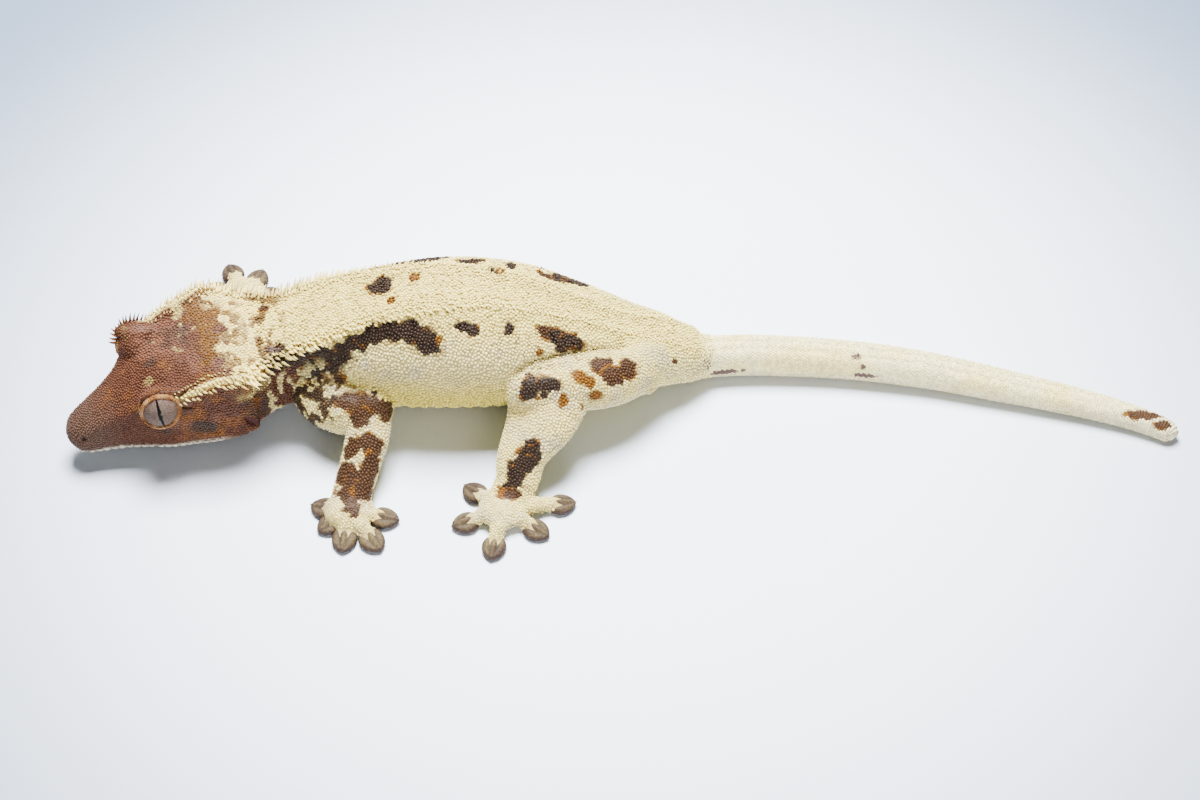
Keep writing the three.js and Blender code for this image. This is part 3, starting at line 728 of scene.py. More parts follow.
def trunk_colour(points: np.ndarray) -> np.ndarray:
    """Cream back, paler flanks and a yellow lower flank, with chocolate marks edged in orange."""
    x, y, z = points.T
    spine, height = behind_skull(x, Y), z / behind_skull(x, TOP)
    cloud = noise(points, 9.0, 3, 3)
    coat = Coat(points, np.full(points.shape, COLOURS.flank))
    coat.lay("back", smooth(0.78, 0.97, height + 0.05 * cloud))
    coat.lay("lower", 0.85 * smooth(0.74, 0.42, height + 0.06 * cloud) * smooth(14.0, 2.0, x))
    coat.lay("blush", 0.30 * coat.patches(0.35, 0.75, 4.0, 8) * smooth(0.8, 0.95, height))
    upper_flank = smooth(0.98, 0.85, height) * smooth(0.55, 0.7, height)
    coat.lay("lilac", 0.5 * coat.patches(0.1, 0.5, 3.0, 13) * upper_flank)
    nape = smooth(-56.0, -60.0, x + 2.0 * cloud) * smooth(0.74, 0.80, height)
    coat.lay("ochre", 0.9 * nape * coat.patches(0.00, 0.06, 2.2, 73))
    coat.lay("umber", 0.5 * nape * coat.patches(0.20, 0.28, 2.2, 73))
    neck = smooth(-43.0, -50.0, x + 1.5 * cloud) * smooth(0.90, 0.80, height + 0.03 * cloud)
    fold = noise(points * np.array([1.4, 1.0, 0.5]), 2.4, 21, 3) - 0.12 * smooth(-50.0, -56.0, x)
    coat.lay("umber", neck * smooth(0.07, -0.03, fold))
    coat.lay("chocolate", 0.7 * neck * smooth(-0.04, -0.25, fold))
    coat.lay("orange", 0.6 * neck * coat.patches(0.15, 0.4, 1.8, 25, 2))
    chest = smooth(-40.0, -46.0, x) * smooth(0.60, 0.5, height)
    coat.lay("slate", 0.85 * chest * coat.patches(0.02, 0.10, 2.4, 27))
    coat.marks(TRUNK_MARKS, 100)
    far = y > spine
    other_side = Coat(points[far], coat.colour[far])
    other_side.marks(MIRRORED_MARKS, 300, True)
    coat.colour[far] = other_side.colour
    beside = smooth(0.66, 0.80, np.abs(y - spine) / behind_skull(x, HALF))
    coat.lay("rust", 0.75 * smooth(-53.0, -57.0, x + cloud) * smooth(0.84, 0.76, height) * beside)
    streak = coat.patches(0.06, 0.20, 1.3, 31, squeeze=(1.5, 1.0, 0.8)) * smooth(0.84, 0.70, height) * beside
    coat.lay("flank", 0.7 * streak * smooth(-47.0, -50.0, x))
    # Painted shade in the pressed folds.
    coat.lay("umber", 0.7 * fold_depth(points)[1])
    return coat.colour


def tail_colour(points: np.ndarray) -> np.ndarray:
    """Pale cream with faint length-wise bands, and small purple-brown specks."""
    coat = Coat(points, np.full(points.shape, COLOURS.tail))
    coat.lay("back", 0.5 * coat.patches(-0.2, 0.5, 5.0, 41, 2))
    coat.lay("lilac", 0.5 * smooth(4.5, 2.0, points[:, 2]))
    coat.lay("blush", 0.12 * coat.patches(0.1, 0.6, 2.0, 43, 2, (0.3, 1.0, 1.0)))
    coat.marks(TAIL_MARKS, 500)
    return coat.colour


def limb_colour(points: np.ndarray) -> np.ndarray:
    """Pale cream legs with lilac-grey shading, brown bands on the arms and blotches on the legs."""
    x, y, z = points.T
    cloud = noise(points, 4.0, 51, 3)
    coat = Coat(points, np.full(points.shape, COLOURS.flank))
    coat.lay("back", 0.6 * smooth(-0.4, 0.4, cloud))
    coat.lay("lilac", 0.45 * coat.patches(0.0, 0.4, 3.0, 53))
    coat.lay("canthus", 0.30 * coat.patches(0.30, 0.55, 2.2, 57))
    shoulder = smooth(-43.5, -47.5, x) * smooth(-14.5, -11.0, y) * (y < 0.0)
    marbled = 0.15 * smooth(-47.0, -51.0, x) + noise(points, 1.5, 58, 3)
    coat.lay("umber", 0.95 * smooth(0.2, 0.6, shoulder) * smooth(-0.03, 0.05, marbled))
    coat.lay("chocolate", 0.8 * smooth(0.2, 0.6, shoulder) * smooth(0.16, 0.24, marbled))
    coat.lay("slate", 0.6 * shoulder * smooth(8.5, 6.0, z) * smooth(-0.05, 0.05, cloud))
    coat.marks(LIMB_MARKS, 700)
    # Painted shade in the pressed folds.
    coat.lay("umber", 0.7 * fold_depth(points)[1])
    return coat.colour


def head_colour(points: np.ndarray) -> np.ndarray:
    """Rust-brown head that breaks up into cream behind, with a cream crest on each side and pale lips."""
    back, left, up = HEAD.local(points)
    fine = noise(points, 1.6, 63, 3)
    rough = 1.8 * noise(points, 5.0, 61, 3) + 2.2 * fine + 0.8 * noise(points, 0.8, 64)
    coat = Coat(points, np.full(points.shape, COLOURS.rust))
    coat.lay("snout", 0.9 * smooth(12.0, 3.0, back + rough))
    coat.lay("rose", 0.6 * coat.patches(0.0, 0.5, 3.6, 65, 2) * smooth(12.0, 18.0, back))
    coat.lay("canthus", 0.55 * coat.patches(0.25, 0.6, 2.6, 67, 3, (0.7, 1.2, 1.0)) * smooth(2.0, 6.0, back))
    coat.lay("slate", 0.55 * coat.patches(0.35, 0.65, 3.0, 69, 2))
    # The crown lies between the crests. Its brown ends at a ragged edge with cream behind it.
    edge = 31.2 - 0.012 * np.clip(left, 0.0, 12.0) ** 2 + 1.5 * rough
    crest_side, crest_up = crest_place(back)
    beside = smooth(-0.4, 0.2, np.abs(left) - crest_side) * smooth(-0.3, -0.8, up - crest_up)
    crown = smooth(6.5, 4.5, np.abs(up - np.interp(back, BODY_BACKS, BODY_TOPS))) * (1.0 - beside)
    coat.lay("ochre", smooth(edge - 7.0, edge - 3.0, back) * crown * coat.patches(-0.35, 0.1, 2.2, 71, 2))
    cream = smooth(edge - 0.5, edge + 0.5, back) * crown
    coat.lay("crest", cream)
    coat.lay("lilac", 0.25 * coat.patches(0.0, 0.5, 2.0, 74) * cream)
    coat.lay("ochre", 0.9 * coat.patches(0.00, 0.06, 1.9, 73) * smooth(edge + 6.5, edge + 2.5, back) * cream)
    coat.lay("crest", 0.45 * coat.patches(0.30, 0.42, 2.4, 75) * smooth(14.0, 19.0, back) * crown)
    line = np.hypot(np.abs(left) - crest_side, up - crest_up) + 0.35 * fine
    ridge = smooth(1.7, 1.0, line) * smooth(17.5, 20.5, back + fine)
    coat.lay("crest", ridge * smooth(-0.5, 0.0, up - crest_up))
    temple = smooth(0.6, 1.4, crest_up - up) * smooth(18.5, 20.0, back)
    coat.lay("canthus", 0.8 * temple * coat.patches(-0.15, 0.2, 2.4, 77))
    smudge = np.hypot((back - 23.0) / 3.0, (up - 10.6) / 1.9)
    coat.lay("slate", 0.8 * temple * smooth(1.2, 0.6, smudge + 0.3 * fine))
    coat.lay("slate", 0.6 * smooth(28.5, 31.0, back) * temple * smooth(-0.3, 0.2, fine))
    nostril = np.linalg.norm(points - HEAD.point(NOSTRIL[0], NOSTRIL[1] * np.sign(left), NOSTRIL[2]), axis=-1)
    # Painted shade inside the nostrils.
    coat.lay("nostril", smooth(0.80, 0.55, nostril))
    # Dark ear opening: its own dark red, deepened as painted shade in the hollow.
    coat.lay("ear", smooth(1.15, 0.75, ear_oval(back, up, 1.1, 2.2)) * (np.abs(left) > EAR_SIDE))
    below = up - mouth_height(back)
    lips = smooth(0.1, -0.1, below) * smooth(-2.3, -1.6, below + 0.3 * fine)
    coat.lay("lip", lips * smooth(MOUTH_CORNER + 1.0, 24.0, back))
    throat = smooth(-1.8, -2.6, below) * smooth(34.0, 30.0, back)
    coat.lay("umber", 0.7 * throat * coat.patches(-0.2, 0.3, 2.6, 79))
    over_mouth = 0.5 * smooth(0.0, 0.25, below) * smooth(1.5, 1.0, below)
    coat.lay("plum", over_mouth * smooth(MOUTH_CORNER, 22.0, back))
    return coat.colour


def mouth_height(back: np.ndarray) -> np.ndarray:
    """Height of the line of the mouth: low at the snout, rising in a slow curve to its corner."""
    share = np.clip((back + 3.0) / (MOUTH_CORNER + 3.0), 0.0, 1.0)
    first, second, third, fourth = 4.9, 4.3, 5.6, 7.2
    rest = 1.0 - share
    return first * rest**3 + 3 * second * rest**2 * share + 3 * third * rest * share**2 + fourth * share**3


BODY_BACKS = HEAD.local(np.c_[BODY[:11, :2], np.zeros(11)])[0]
BODY_TOPS = BODY[:11, TOP]


def crest_line(t: np.ndarray, side: Side) -> np.ndarray:
    """Points on the top of a crest ridge, at places along the body in stations."""
    angle = np.radians(along(BODY, t)[..., CREST_ANGLE])
    return body_surface(t, angle if side is Side.LEFT else math.pi - angle)


CREST_T = np.linspace(5.0, SKULL_END, 60)
CREST_BACK, CREST_LEFT, CREST_UP = HEAD.local(crest_line(CREST_T, Side.LEFT))


def crest_place(back: np.ndarray) -> tuple[np.ndarray, np.ndarray]:
    """Distance from the middle and height of the head's crest, at a distance behind the snout."""
    return np.interp(back, CREST_BACK, CREST_LEFT), np.interp(back, CREST_BACK, CREST_UP)


def skin_colour(points: np.ndarray, region: np.ndarray) -> np.ndarray:
    """Colour of the skin at points of the table, each by the rules of its own region.

    Args:
        points: places on the table.
        region: the Region value of each.

    Returns:
        A linear colour for each point.
    """
    colour = np.zeros(points.shape)
    rules = {
        Region.HEAD: head_colour, Region.TRUNK: trunk_colour, Region.TAIL: tail_colour,
        Region.LIMB: limb_colour, Region.FOOT: limb_colour,
    }
    for kind, rule in rules.items():
        chosen = region == kind
        if chosen.any():
            colour[chosen] = rule(points[chosen])
    return np.clip(colour, 0.0, 1.0)


# Making meshes.


def closed_grid(points: np.ndarray) -> tuple[np.ndarray, np.ndarray]:
    """Turns rings of points, closed round, into a mesh, with each end closed by a fan to its middle.

    Args:
        points: rings by points by coordinates.

    Returns:
        Vertices, and triangles that index them.
    """
    rings, count = points.shape[:2]
    index = np.arange(rings * count).reshape(rings, count)
    after = np.roll(index, -1, axis=1)
    a, b, c, d = index[:-1].ravel(), after[:-1].ravel(), after[1:].ravel(), index[1:].ravel()
    first, last = rings * count, rings * count + 1
    fans = [
        np.c_[after[0], index[0], np.full(count, first)],
        np.c_[index[-1], after[-1], np.full(count, last)],
    ]
    vertices = np.concatenate([points.reshape(-1, 3), points[:1].mean(axis=1), points[-1:].mean(axis=1)])
    triangles = np.concatenate([np.c_[a, b, c], np.c_[a, c, d], *fans])
    return vertices, outward(vertices, triangles)


def outward(vertices: np.ndarray, faces: np.ndarray) -> np.ndarray:
    """Turns all faces of a closed mesh round if its volume comes out negative."""
    a, b, c = (vertices[faces[:, k]] for k in (0, 1, 2))
    return faces if np.einsum("ij,ij->", a, np.cross(b, c)) > 0.0 else faces[:, ::-1]


def join(parts: list[tuple[np.ndarray, np.ndarray]]) -> tuple[np.ndarray, np.ndarray]:
    """Joins meshes into one list of vertices and faces."""
    starts = np.cumsum([0] + [len(vertices) for vertices, _ in parts[:-1]])
    vertices = np.concatenate([part[0] for part in parts])
    return vertices, np.concatenate([part[1] + start for part, start in zip(parts, starts)])


def make_mesh(name: str, vertices: np.ndarray, faces: np.ndarray, rounded: bool = True) -> bpy.types.Mesh:
    """Makes a mesh in metres in the frame from table coordinates.

    Args:
        name: the mesh's name.
        vertices: places on the table, in millimetres.
        faces: rows of three or four vertex numbers.
        rounded: True for smooth shading.

    Returns:
        The mesh.
    """
    mesh = bpy.data.meshes.new(name)
    sides = faces.shape[1]
    mesh.vertices.add(len(vertices))
    mesh.vertices.foreach_set("co", ((vertices + SHIFT) * MM).astype(np.float32).ravel())
    mesh.loops.add(faces.size)
    mesh.loops.foreach_set("vertex_index", faces.astype(np.int32).ravel())
    mesh.polygons.add(len(faces))
    mesh.polygons.foreach_set("loop_start", np.arange(0, faces.size, sides, dtype=np.int32))
    mesh.update(calc_edges=True)
    mesh.shade_smooth() if rounded else mesh.shade_flat()
    return mesh


def add_colour(mesh: bpy.types.Mesh, colour: np.ndarray) -> None:
    """Stores a linear colour for each vertex in the attribute Marking."""
    layer = mesh.color_attributes.new("Marking", "FLOAT_COLOR", "POINT")
    layer.data.foreach_set("color", np.c_[colour, np.ones(len(colour))].astype(np.float32).ravel())


def add_piece(name: str, mesh: bpy.types.Mesh, finish: bpy.types.Material) -> bpy.types.Object:
    """Puts a mesh in the scene as a piece that rides on the body.

    Args:
        name: the piece's name.
        mesh: its mesh, in the frame.
        finish: its material.

    Returns:
        The object.
    """
    piece = bpy.data.objects.new(name, mesh)
    bpy.context.scene.collection.objects.link(piece)
    mesh.materials.append(finish)
    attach(piece, "root")
    LOG.info("%s: %d faces", name, len(mesh.polygons))
    return piece


def edge_pairs(faces: np.ndarray) -> np.ndarray:
    """Lists the two ends of every side of every face."""
    sides = faces.shape[1]
    return np.concatenate([faces[:, [k, (k + 1) % sides]] for k in range(sides)])


def vertex_normals(vertices: np.ndarray, faces: np.ndarray) -> np.ndarray:
    """Unit normals at vertices, each the sum of the cross products of its faces' diagonals or edges."""
    corners = [vertices[faces[:, k]] for k in range(faces.shape[1])]
    if len(corners) == 4:
        cross = np.cross(corners[2] - corners[0], corners[3] - corners[1])
    else:
        cross = np.cross(corners[1] - corners[0], corners[2] - corners[0])
    normal = np.zeros(vertices.shape)
    for corner in range(faces.shape[1]):
        for axis in range(3):
            normal[:, axis] += np.bincount(faces[:, corner], cross[:, axis], len(vertices))
    return unit(normal)


class Relaxer:
    """Moves each vertex of a mesh towards the middle of its neighbours."""

    def __init__(self, faces: np.ndarray, count: int) -> None:
        """Lists each edge of the faces once in each direction.

        Args:
            faces: rows of vertex numbers.
            count: number of vertices.
        """
        pairs = edge_pairs(faces)
        self.pairs = np.concatenate([pairs, pairs[:, ::-1]])
        self.count = count
        self.degree = np.maximum(np.bincount(self.pairs[:, 0], minlength=count), 1)

    def step(self, vertices: np.ndarray, share: np.ndarray | float) -> np.ndarray:
        """Moves vertices by a share of the way to the mean of their neighbours."""
        here, there = self.pairs.T
        total = [np.bincount(here, vertices[there, axis], self.count) for axis in range(3)]
        mean = np.stack(total, axis=-1) / self.degree[:, None]
        return vertices + (mean - vertices) * (share[:, None] if isinstance(share, np.ndarray) else share)


@dataclass
class SkinMap:
    """Samples of every surface under the skin, each with its region and its place on a flat map."""

    points: list[np.ndarray] = field(default_factory=list)
    places: list[np.ndarray] = field(default_factory=list)
    regions: list[np.ndarray] = field(default_factory=list)

    def add(
        self, points: np.ndarray, region: Region | np.ndarray,
        low: tuple[float, float], size: tuple[float, float],
    ) -> None:
        """Adds a grid of samples with its own rectangle of the map.

        Args:
            points: rings by points by coordinates.
            region: one region for all, or its value for each ring.
            low: lower corner of the rectangle.
            size: the rectangle's sides, along the rings and round them.
        """
        rings, count = points.shape[:2]
        u, v = np.meshgrid(np.linspace(0, 1, rings), np.linspace(0, 1, count, endpoint=False), indexing="ij")
        self.points.append(points.reshape(-1, 3))
        self.places.append(np.stack([low[0] + size[0] * u, low[1] + size[1] * v], axis=-1).reshape(-1, 2))
        value = np.full(rings, region) if isinstance(region, Region) else region
        self.regions.append(np.repeat(value, count))

    def read(self, points: np.ndarray) -> tuple[np.ndarray, np.ndarray]:
        """Finds the nearest sample to each point.

        Args:
            points: places on the table.

        Returns:
            The regions, and the places on the map.
        """
        tree = point_tree(np.concatenate(self.points))
        nearest = np.fromiter((tree.find(point)[1] for point in points), int, len(points))
        return np.concatenate(self.regions)[nearest], np.concatenate(self.places)[nearest]


@dataclass
class Skin:
    """The animal's skin: one surface over the head, trunk, tail, legs and feet."""

    voxel: float = 0.44
    inset: float = 0.34
    vertices: np.ndarray = field(default_factory=lambda: np.zeros((0, 3)))
    faces: np.ndarray = field(default_factory=lambda: np.zeros((0, 4), int))
    normals: np.ndarray = field(default_factory=lambda: np.zeros((0, 3)))
    regions: np.ndarray = field(default_factory=lambda: np.zeros(0, int))
    map: SkinMap = field(default_factory=SkinMap)

    def surfaces(self) -> list[tuple[np.ndarray, np.ndarray]]:
        """Works out the closed surfaces that the skin is joined from, and notes samples on the map."""
        parts = []
        t = np.linspace(0.0, LAST, 420)[:, None]
        body = body_surface(t, full_turn(160)[None, :], -self.inset)
        before = [t[:, 0] < SKULL_END, t[:, 0] < TAIL_START]
        regions = np.select(before, [Region.HEAD, Region.TRUNK], Region.TAIL)
        self.map.add(body, regions, (0.0, 0.0), (0.98, 0.48))
        parts.append(closed_grid(body))
        round_limb = full_turn(36)[None, :]
        u = np.linspace(0.02, math.pi - 0.02, 18)[:, None]
        for number, limb in enumerate(LIMBS):
            low = (0.245 * number, 0.5)
            upper, lower = (
                limb_surface(table, np.linspace(0, len(table) - 1, rings)[:, None], round_limb, -self.inset)
                for table, rings in ((limb.upper, 30), (limb.lower, 36))
            )
            size = limb.joint - self.inset
            end = ball_surface(limb.upper[-1, :3], (size, size, size), u, round_limb)
            palm = ball_surface(np.array([*limb.palm, 1.9]), (4.5, 4.1, 2.2), u, round_limb)
            self.map.add(upper, Region.LIMB, low, (0.11, 0.2))
            self.map.add(lower, Region.LIMB, (low[0] + 0.12, low[1]), (0.11, 0.2))
            self.map.add(palm, Region.FOOT, (low[0], 0.72), (0.05, 0.12))
            parts += [closed_grid(surface) for surface in (upper, lower, end, palm)]
            for toe, tip in enumerate(limb.tips):
                table = toe_table(limb.palm, tip, limb.pad)
                stations = np.linspace(0, len(table) - 1, 26)[:, None]
                surface = limb_surface(table, stations, round_limb[:, ::2], -0.1)
                self.map.add(surface, Region.FOOT, (low[0] + 0.055 + 0.035 * toe, 0.72), (0.032, 0.12))
                parts.append(closed_grid(surface))
        for side in Side:
            swell = EYE_RADIUS + 0.1
            parts.append(closed_grid(ball_surface(eye_centre(side), (swell, swell, swell), u, round_limb)))
            brow = HEAD.point(EYE_BACK + 0.3, side.value * (EYE_SIDE + 0.8), EYE_HEIGHT + 3.1)
            parts.append(closed_grid(ball_surface(brow, (3.9, 2.1, 1.2), u, round_limb)))
        return parts

    def build(self) -> None:
        """Joins the surfaces into one skin of even squares, rounds its joints and presses its details in."""
        vertices, faces = join(self.surfaces())
        rough = bpy.data.objects.new("rough_skin", make_mesh("rough_skin", vertices, faces))
        bpy.context.scene.collection.objects.link(rough)
        remesh = rough.modifiers.new("Remesh", "REMESH")
        remesh.mode = "VOXEL"
        remesh.voxel_size = self.voxel * MM
        even = rough.evaluated_get(bpy.context.evaluated_depsgraph_get()).to_mesh()
        co = np.empty(len(even.vertices) * 3)
        even.vertices.foreach_get("co", co)
        self.vertices = co.reshape(-1, 3) / MM - SHIFT
        corner = np.empty(len(even.loops), int)
        even.loops.foreach_get("vertex_index", corner)
        self.faces = corner.reshape(-1, 4)
        rough.to_mesh_clear()
        bpy.data.objects.remove(rough)
        self.keep_largest()
        self.round_joints()
        self.regions, _ = self.map.read(self.vertices)
        self.press_details()
        self.vertices[:, 2] = np.maximum(self.vertices[:, 2], 0.02)
        self.normals = vertex_normals(self.vertices, self.faces)

    def keep_largest(self) -> None:
        """Drops all loose shells but the largest, found by spreading low vertex numbers along edges."""
        label = np.arange(len(self.vertices))
        pairs = edge_pairs(self.faces)
        while True:
            lowest = label.copy()
            np.minimum.at(lowest, pairs[:, 0], label[pairs[:, 1]])
            np.minimum.at(lowest, pairs[:, 1], label[pairs[:, 0]])
            lowest = lowest[lowest]
            if np.array_equal(lowest, label):
                break
            label = lowest
        kept = label == np.bincount(label).argmax()
        number = np.cumsum(kept) - 1
        self.faces = number[self.faces[kept[self.faces[:, 0]]]]
        self.vertices = self.vertices[kept]

    def round_joints(self) -> None:
        """Smooths away the steps of the remesh, and fills the creases where the legs meet body and feet."""
        relaxer = Relaxer(self.faces, len(self.vertices))
        for _ in range(5):
            self.vertices = relaxer.step(self.vertices, 0.5)
            self.vertices = relaxer.step(self.vertices, -0.52)
        weight = np.zeros(len(self.vertices))
        for limb in LIMBS:
            upper, lower = limb.upper[:, :3], limb.lower[:, :3]
            shoulder = upper[0] * 0.35 + upper[1] * 0.65
            for place, reach in ((shoulder, 7.0), (upper[-1], 4.5), (lower[-1], 4.0)):
                away = np.linalg.norm(self.vertices - place, axis=-1) / reach
                weight = np.maximum(weight, np.exp(-(away**4)))
        for _ in range(26):
            self.vertices = relaxer.step(self.vertices, 0.5 * weight)

    def press_details(self) -> None:
        """Presses the mouth, nostrils, ears, folds and tail rings into the skin along its normals."""
        points = self.vertices
        normal = vertex_normals(points, self.faces)
        back, left, up = HEAD.local(points)
        x, y, z = points.T
        head, trunk, tail = (self.regions == kind for kind in (Region.HEAD, Region.TRUNK, Region.TAIL))
        above = up - mouth_height(back)
        depth = -0.42 * head * bell(above, 0.42) * smooth(MOUTH_CORNER + 0.8, MOUTH_CORNER - 2.0, back)
        depth += head * 0.16 * bell(above + 1.0, 0.7) * smooth(MOUTH_CORNER, 22.0, back)
        for side in Side:
            nostril = HEAD.point(NOSTRIL[0], side.value * NOSTRIL[1], NOSTRIL[2])
            depth -= 0.55 * bell(np.linalg.norm(points - nostril, axis=-1), 0.55)
            depth -= 0.55 * np.exp(-(ear_oval(back, up, 0.8, 1.9) ** 4)) * (side.value * left > EAR_SIDE)
            hollow = HEAD.point(12.0, side.value * 5.4, 13.0)
            depth -= 0.35 * bell(np.linalg.norm(points - hollow, axis=-1), 2.6)
        neck = bell(x + 56.0, 4.5) * smooth(17.0, 12.0, z) * trunk
        depth += 0.20 * neck * np.sin(x * 3.2 + 1.8 * noise(points, 4.0, 81) + 0.3 * z)
        depth -= fold_depth(points)[0]
        flank = trunk * smooth(13.0, 8.0, z) * smooth(-42.0, -36.0, x) * smooth(-6.0, -14.0, x)
        depth += 0.13 * flank * np.sin(x * 2.3 + 2.2 * noise(points, 6.0, 85))
        spur = np.linalg.norm(points - np.array([9.0, -2.4, 6.6]), axis=-1)
        depth += 0.8 * bell(spur, 1.5) * (y < behind_skull(x, Y))
        across = (y - behind_skull(x, Y)) / 3.4
        long_fold = bell(across + 0.40, 0.13) + 0.8 * bell(across - 0.12, 0.12)
        depth -= tail * 0.22 * long_fold * smooth(16.0, 22.0, x) * smooth(100.0, 80.0, x) * (z > 3.0)
        ring = 0.035 * np.sin(2.0 * math.pi * x / 1.55)
        depth += tail * (ring + 0.05 * noise(points * np.array([0.12, 1.0, 1.0]), 1.3, 87))
        depth += 0.25 * bell(x - 17.0, 1.6) * (z > 0.6)
        self.vertices = points + normal * depth[:, None]
        self.open_eyes()

    def open_eyes(self) -> None:
        """Draws the skin under the eyelids in towards the middle of each eye, where the ball hides it."""
        for side in Side:
            away = self.vertices - eye_centre(side)
            far = np.linalg.norm(away, axis=-1)
            direction = away / far[:, None]
            inside = EyeSocket(side).opening(direction) < 1.25
            chosen = inside & (far < EYE_RADIUS + 3.2)
            self.vertices[chosen] = eye_centre(side) + direction[chosen] * (EYE_RADIUS - 0.7)


@dataclass(frozen=True)
class EyeSocket:
    """The opening between an eye's lids, as an oval round the way that the eye looks."""

    side: Side
    half_length: float = 60.0
    half_height: float = 47.0

    def axes(self) -> tuple[np.ndarray, np.ndarray, np.ndarray]:
        """Directions in which the eye looks, of the oval's length towards the snout, and of its height."""
        centre = eye_centre(self.side)
        rise = 0.55 if self.side is Side.LEFT else 0.0
        target = HEAD.point(EYE_BACK - 0.22, self.side.value * (EYE_SIDE + 0.90), EYE_HEIGHT + rise)
        look = unit(target - centre)
        ahead = unit(HEAD.point(EYE_BACK - 1.0, self.side.value * EYE_SIDE, EYE_HEIGHT - 0.16) - centre)
        ahead = unit(ahead - look * (ahead @ look))
        return look, ahead, np.cross(look, ahead) * -self.side.value

    def opening(self, direction: np.ndarray) -> np.ndarray:
        """Angle from the way the eye looks, as a share of the opening's own angle on that side."""
        look, ahead, over = self.axes()
        angle = np.degrees(np.arccos(np.clip(direction @ look, -1.0, 1.0)))
        round_look = np.arctan2(direction @ over, direction @ ahead)
        return angle / self.edge(round_look)

    def edge(self, round_look: np.ndarray) -> np.ndarray:
        """Half angle of the opening, an ellipse in angles, slightly pointed at both corners."""
        c, s = np.abs(np.cos(round_look)), np.abs(np.sin(round_look))
        upper = self.half_height if self.side is Side.LEFT else 34.0
        height = np.where(np.sin(round_look) > 0.0, upper, self.half_height)
        return ((c / self.half_length) ** 1.8 + (s / height) ** 1.8) ** (-1.0 / 1.8)

    def surface(self, share: np.ndarray, round_look: np.ndarray, radius: np.ndarray) -> np.ndarray:
        """Points round the eye at a share of the opening's angle and a distance from the eye's centre."""
        look, ahead, over = self.axes()
        angle = np.radians(share * self.edge(round_look))[..., None]
        flat = ahead * np.cos(round_look)[..., None] + over * np.sin(round_look)[..., None]
        direction = look * np.cos(angle) + flat * np.sin(angle)
        return eye_centre(self.side) + direction * np.asarray(radius)[..., None]


# Small forms on the skin.


def add_flat_map(mesh: bpy.types.Mesh, places: np.ndarray, name: str = "OFBake") -> None:
    """Stores a place on a flat map for each vertex, at each of its corners."""
    corner = np.empty(len(mesh.loops), int)
    mesh.loops.foreach_get("vertex_index", corner)
    layer = mesh.uv_layers.new(name=name)
    layer.data.foreach_set("uv", places[corner].astype(np.float32).ravel())


def alike_shells(
    name: str, vertices: np.ndarray, shell: np.ndarray, colours: tuple[np.ndarray, np.ndarray],
    maps: tuple[np.ndarray, np.ndarray],
) -> bpy.types.Mesh:
    """Makes one mesh of many closed shells that have the same faces.

    Args:
        name: the mesh's name.
        vertices: shells by vertices by coordinates.
        shell: the triangles of one shell.
        colours: a colour for each shell, and a shade for each of its vertices.
        maps: a place on the flat map for each shell, and a distance from there for each of its vertices.

    Returns:
        The mesh, with its colours and its flat map.
    """
    count, stride = vertices.shape[:2]
    faces = (shell[None] + stride * np.arange(count)[:, None, None]).reshape(-1, 3)
    mesh = make_mesh(name, vertices.reshape(-1, 3), faces)
    shaded = colours[0][:, None, :] * colours[1][None, :, None]
    add_colour(mesh, np.clip(shaded.reshape(-1, 3), 0.0, 0.97))
    add_flat_map(mesh, (maps[0][:, None, :] + maps[1][None]).reshape(-1, 2))
    return mesh


@dataclass
class Beads:
    """Many small domes on the skin: place, outward direction, size, height, lean and colour of each."""

    roots: np.ndarray
    normals: np.ndarray
    radii: np.ndarray
    heights: np.ndarray
    colours: np.ndarray
    places: np.ndarray
    stretch: np.ndarray
    along: np.ndarray
    sides: int = 6
    patch: float = 0.0015

    def mesh(self, name: str) -> bpy.types.Mesh:
        """Makes all the domes as one mesh of closed shells.

        Each has a root ring sunk in the skin, a ring at 0.7 of the radius over half the height, and a top
        that leans back. The root ring is darkened as painted shade in the crevices between scales, and the
        top is lightened as a painted highlight.

        Args:
            name: the mesh's name.

        Returns:
            The mesh, with its colours and its flat map.
        """
        ahead = unit(self.along - self.normals * np.einsum("ij,ij->i", self.along, self.normals)[:, None])
        over = np.cross(self.normals, ahead)
        turn = 2.0 * math.pi * np.arange(self.sides) / self.sides
        ring = np.cos(turn)[None, :, None] * (ahead * self.stretch[:, None])[:, None, :]
        ring = ring + np.sin(turn)[None, :, None] * over[:, None, :]
        r, h = self.radii[:, None, None], self.heights[:, None, None]
        root, n = self.roots[:, None, :], self.normals[:, None, :]
        low = root + ring * r - n * 0.16 * r
        middle = root + ring * 0.72 * r + n * 0.62 * h + ahead[:, None, :] * 0.08 * r
        top = root + n * h + ahead[:, None, :] * 0.18 * r
        vertices = np.concatenate([low, middle, top], axis=1)
        k = np.arange(self.sides)
        after = (k + 1) % self.sides
        over = after + self.sides
        side = np.concatenate([np.c_[k, after, over], np.c_[k, over, k + self.sides]])
        cap = np.c_[k + self.sides, after + self.sides, np.full(self.sides, 2 * self.sides)]
        base = np.c_[np.zeros(self.sides - 2, int), k[2:], k[1:-1]]
        shell = np.concatenate([side, cap, base])
        # Painted shade on the root ring and a painted highlight on the top of each dome.
        shade = np.concatenate([np.full(self.sides, 0.60), np.full(self.sides, 0.96), [1.12]])
        spread = np.concatenate([np.full(self.sides, 1.0), np.full(self.sides, 0.7), [0.0]])
        angle = np.concatenate([turn, turn, [0.0]])
        flat = np.stack([np.cos(angle), np.sin(angle)], axis=-1) * (spread * self.patch)[:, None]
        return alike_shells(name, vertices, shell, (self.colours, shade), (self.places, flat))

    def part(self, chosen: np.ndarray) -> "Beads":
        """Returns some of the domes."""
        rows = (
            self.roots, self.normals, self.radii, self.heights,
            self.colours, self.places, self.stretch, self.along,
        )
        return Beads(*(row[chosen] for row in rows), self.sides, self.patch)


